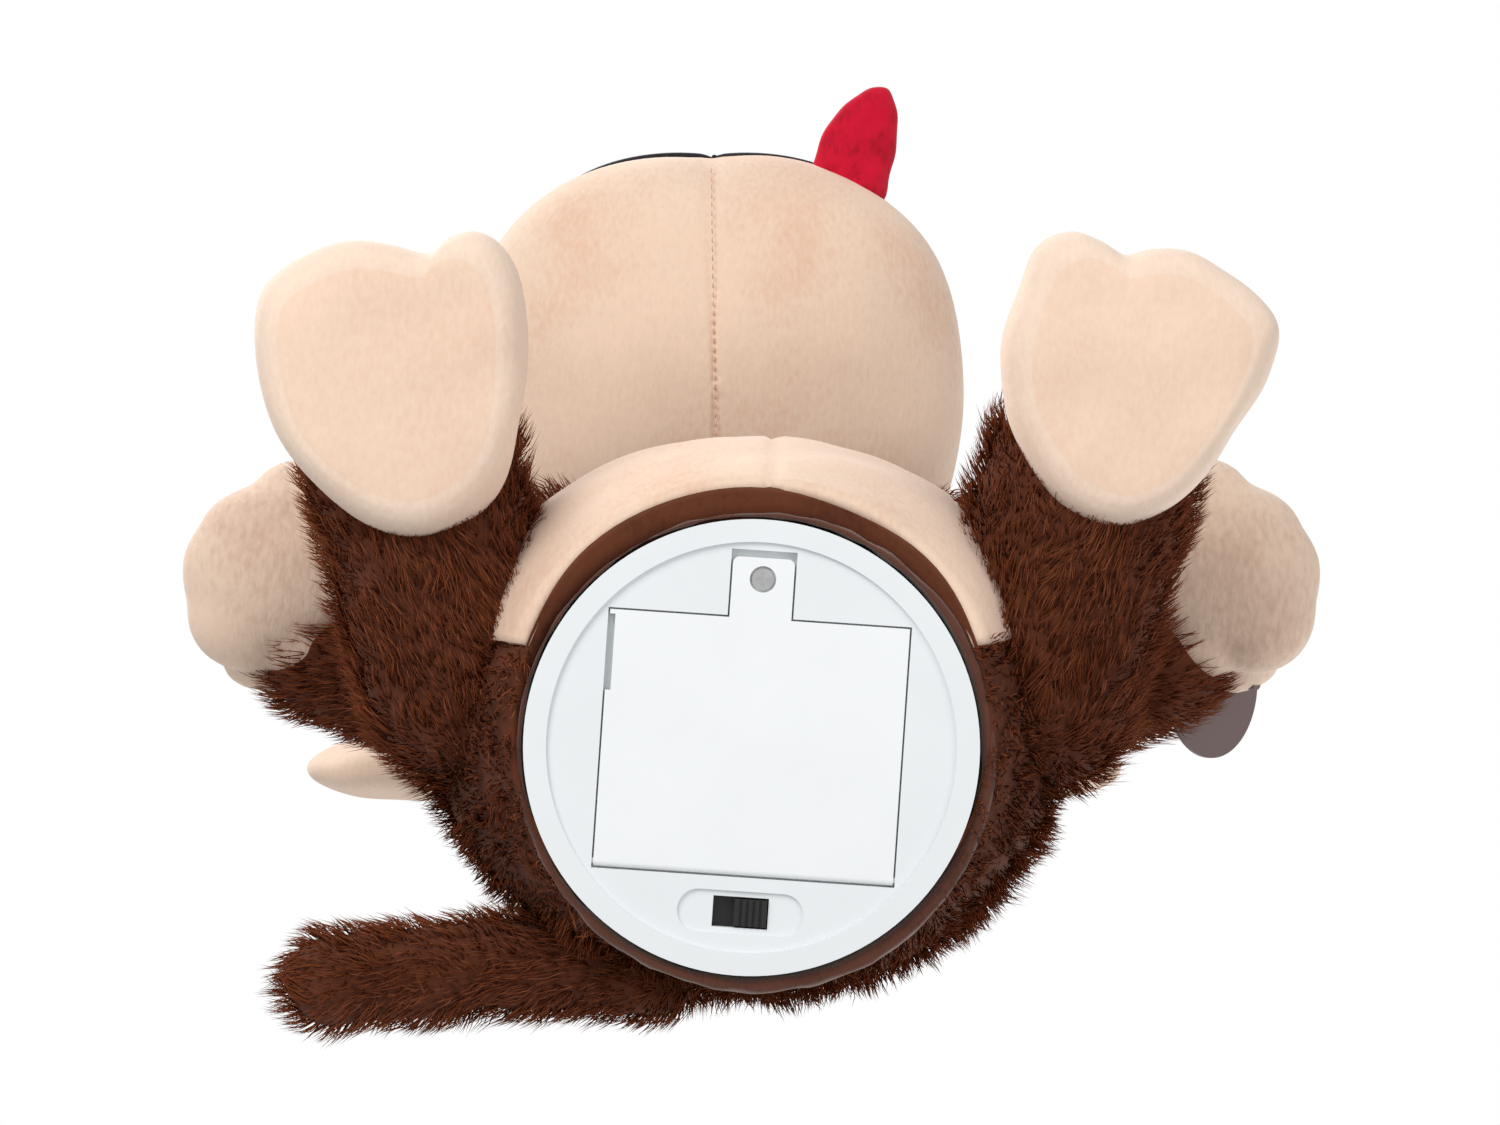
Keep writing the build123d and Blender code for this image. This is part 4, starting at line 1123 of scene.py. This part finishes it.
def make_stage():
    """A pale floor that only cameras above it see, and that keeps no light from the base."""
    half = FLOOR_HALF_SIZE
    corners = [(x, y, FLOOR_HEIGHT) for x, y in ((-half, -half), (half, -half), (half, half), (-half, half))]
    floor = add_object("floor", corners, [(0, 1, 2, 3)])
    material = bpy.data.materials.new("floor_paper")
    material.use_nodes = True
    nodes, links = material.node_tree.nodes, material.node_tree.links
    shader = nodes["Principled BSDF"]
    shader.inputs["Base Color"].default_value = (0.9, 0.9, 0.9, 1)
    shader.inputs["Roughness"].default_value = 0.8
    geometry = nodes.new("ShaderNodeNewGeometry")
    clear = nodes.new("ShaderNodeBsdfTransparent")
    mix = nodes.new("ShaderNodeMixShader")
    links.new(geometry.outputs["Backfacing"], mix.inputs["Fac"])
    links.new(shader.outputs["BSDF"], mix.inputs[1])
    links.new(clear.outputs["BSDF"], mix.inputs[2])
    links.new(mix.outputs["Shader"], nodes["Material Output"].inputs["Surface"])
    floor.data.materials.append(material)
    floor.visible_shadow = False
    floor.visible_diffuse = False
    floor.visible_glossy = False


# The soft boxes as (name, place, target, size, power), in metres and watts.
SOFT_BOXES = [
    ("key_below", (-0.55, -0.75, -0.75), (0, -0.03, 0.06), 0.7, 8),
    ("fill_below", (0.75, -0.25, -0.8), (0, -0.03, 0.06), 0.8, 3),
    ("key_above", (-0.7, -0.8, 1.1), (0, -0.03, 0.12), 0.8, 13),
    ("back_above", (0.6, 0.9, 0.9), (0, 0, 0.12), 0.8, 8),
]
ROOM_LIGHT = 0.58
ROOM_SEEN = 1.0
CAMERA_PLACE = (-0.00033, -0.0405, -1.0)
CAMERA_LENS = 109.7


def area_light(name, place, target, size, power):
    """A soft box aimed at a point."""
    light = bpy.data.lights.new(name, "AREA")
    light.shape = "SQUARE"
    light.size = size
    light.energy = power
    lamp = bpy.data.objects.new(name, light)
    lamp.location = place
    lamp.rotation_euler = (Vector(target) - Vector(place)).to_track_quat("-Z", "Y").to_euler()
    bpy.context.scene.collection.objects.link(lamp)


def make_light():
    """A white room with soft boxes, the main ones below and in front of the base."""
    world = bpy.data.worlds.new("white_room")
    world.use_nodes = True
    nodes, links = world.node_tree.nodes, world.node_tree.links
    background = nodes["Background"]
    ray = nodes.new("ShaderNodeLightPath")
    strength = nodes.new("ShaderNodeMapRange")
    strength.inputs["To Min"].default_value = ROOM_LIGHT
    strength.inputs["To Max"].default_value = ROOM_SEEN
    links.new(ray.outputs["Is Camera Ray"], strength.inputs["Value"])
    links.new(strength.outputs["Result"], background.inputs["Strength"])
    background.inputs["Color"].default_value = (1, 1, 1, 1)
    bpy.context.scene.world = world
    for soft_box in SOFT_BOXES:
        area_light(*soft_box)


def make_camera():
    """The camera below the toy, level with the middle of its underside."""
    camera = bpy.data.cameras.new("camera")
    camera.lens = CAMERA_LENS
    camera.sensor_width = 36.0
    camera.clip_end = 20.0
    holder = bpy.data.objects.new("camera", camera)
    holder.location = CAMERA_PLACE
    holder.rotation_euler = (math.pi, 0, 0)
    bpy.context.scene.collection.objects.link(holder)
    bpy.context.scene.camera = holder


# ---- The whole toy -------------------------------------------------------------------------

FOOT_SEEDS = {"left": 101, "right": 103}
ON_BASE = riding("base")

dress_cad_nodes()
body_skin = make_body()
make_belly()
make_band()
for side, seed in FOOT_SEEDS.items():
    make_foot(side, seed)
    leg_comb = along(*(mirrored(point, side) for point in LEG_COMB))
    grow_fur(f"leg_{side}_fur", make_leg(side), leg_comb, 9.0, 1.25, seed + 200, ON_BASE)
    shoulder_comb = along((0, 0, 0), mirrored((10, -4, -4), side))
    grow_fur(f"shoulder_{side}_fur", make_shoulder(side), shoulder_comb, 8.0, 1.4, seed + 260, ON_BASE)
    make_sleeve(side)
    make_hand(side, f"arm_{side}")
grow_fur("body_fur", body_skin, downward, 9.0, 1.45, 301, ON_BASE, keep=furry)
tail_comb = along((0, 0, 0), (TAIL_LINE[-1] - TAIL_LINE[0]).normalized())
grow_fur("tail_fur", make_tail(), tail_comb, 8.0, 1.2, 303, ON_BASE)
head_skin = make_head()
make_muzzle()
grow_fur(
    "head_fur", head_skin, lambda points: points - np.array(HEAD_COMB_FROM), 8.0, 1.5, 305, riding("head"),
    keep=bare_of_eyes,
)
make_face_lines()
make_ears()
make_tongue()
make_stage()
make_light()
make_camera()
bpy.context.scene.view_settings.view_transform = "Standard"
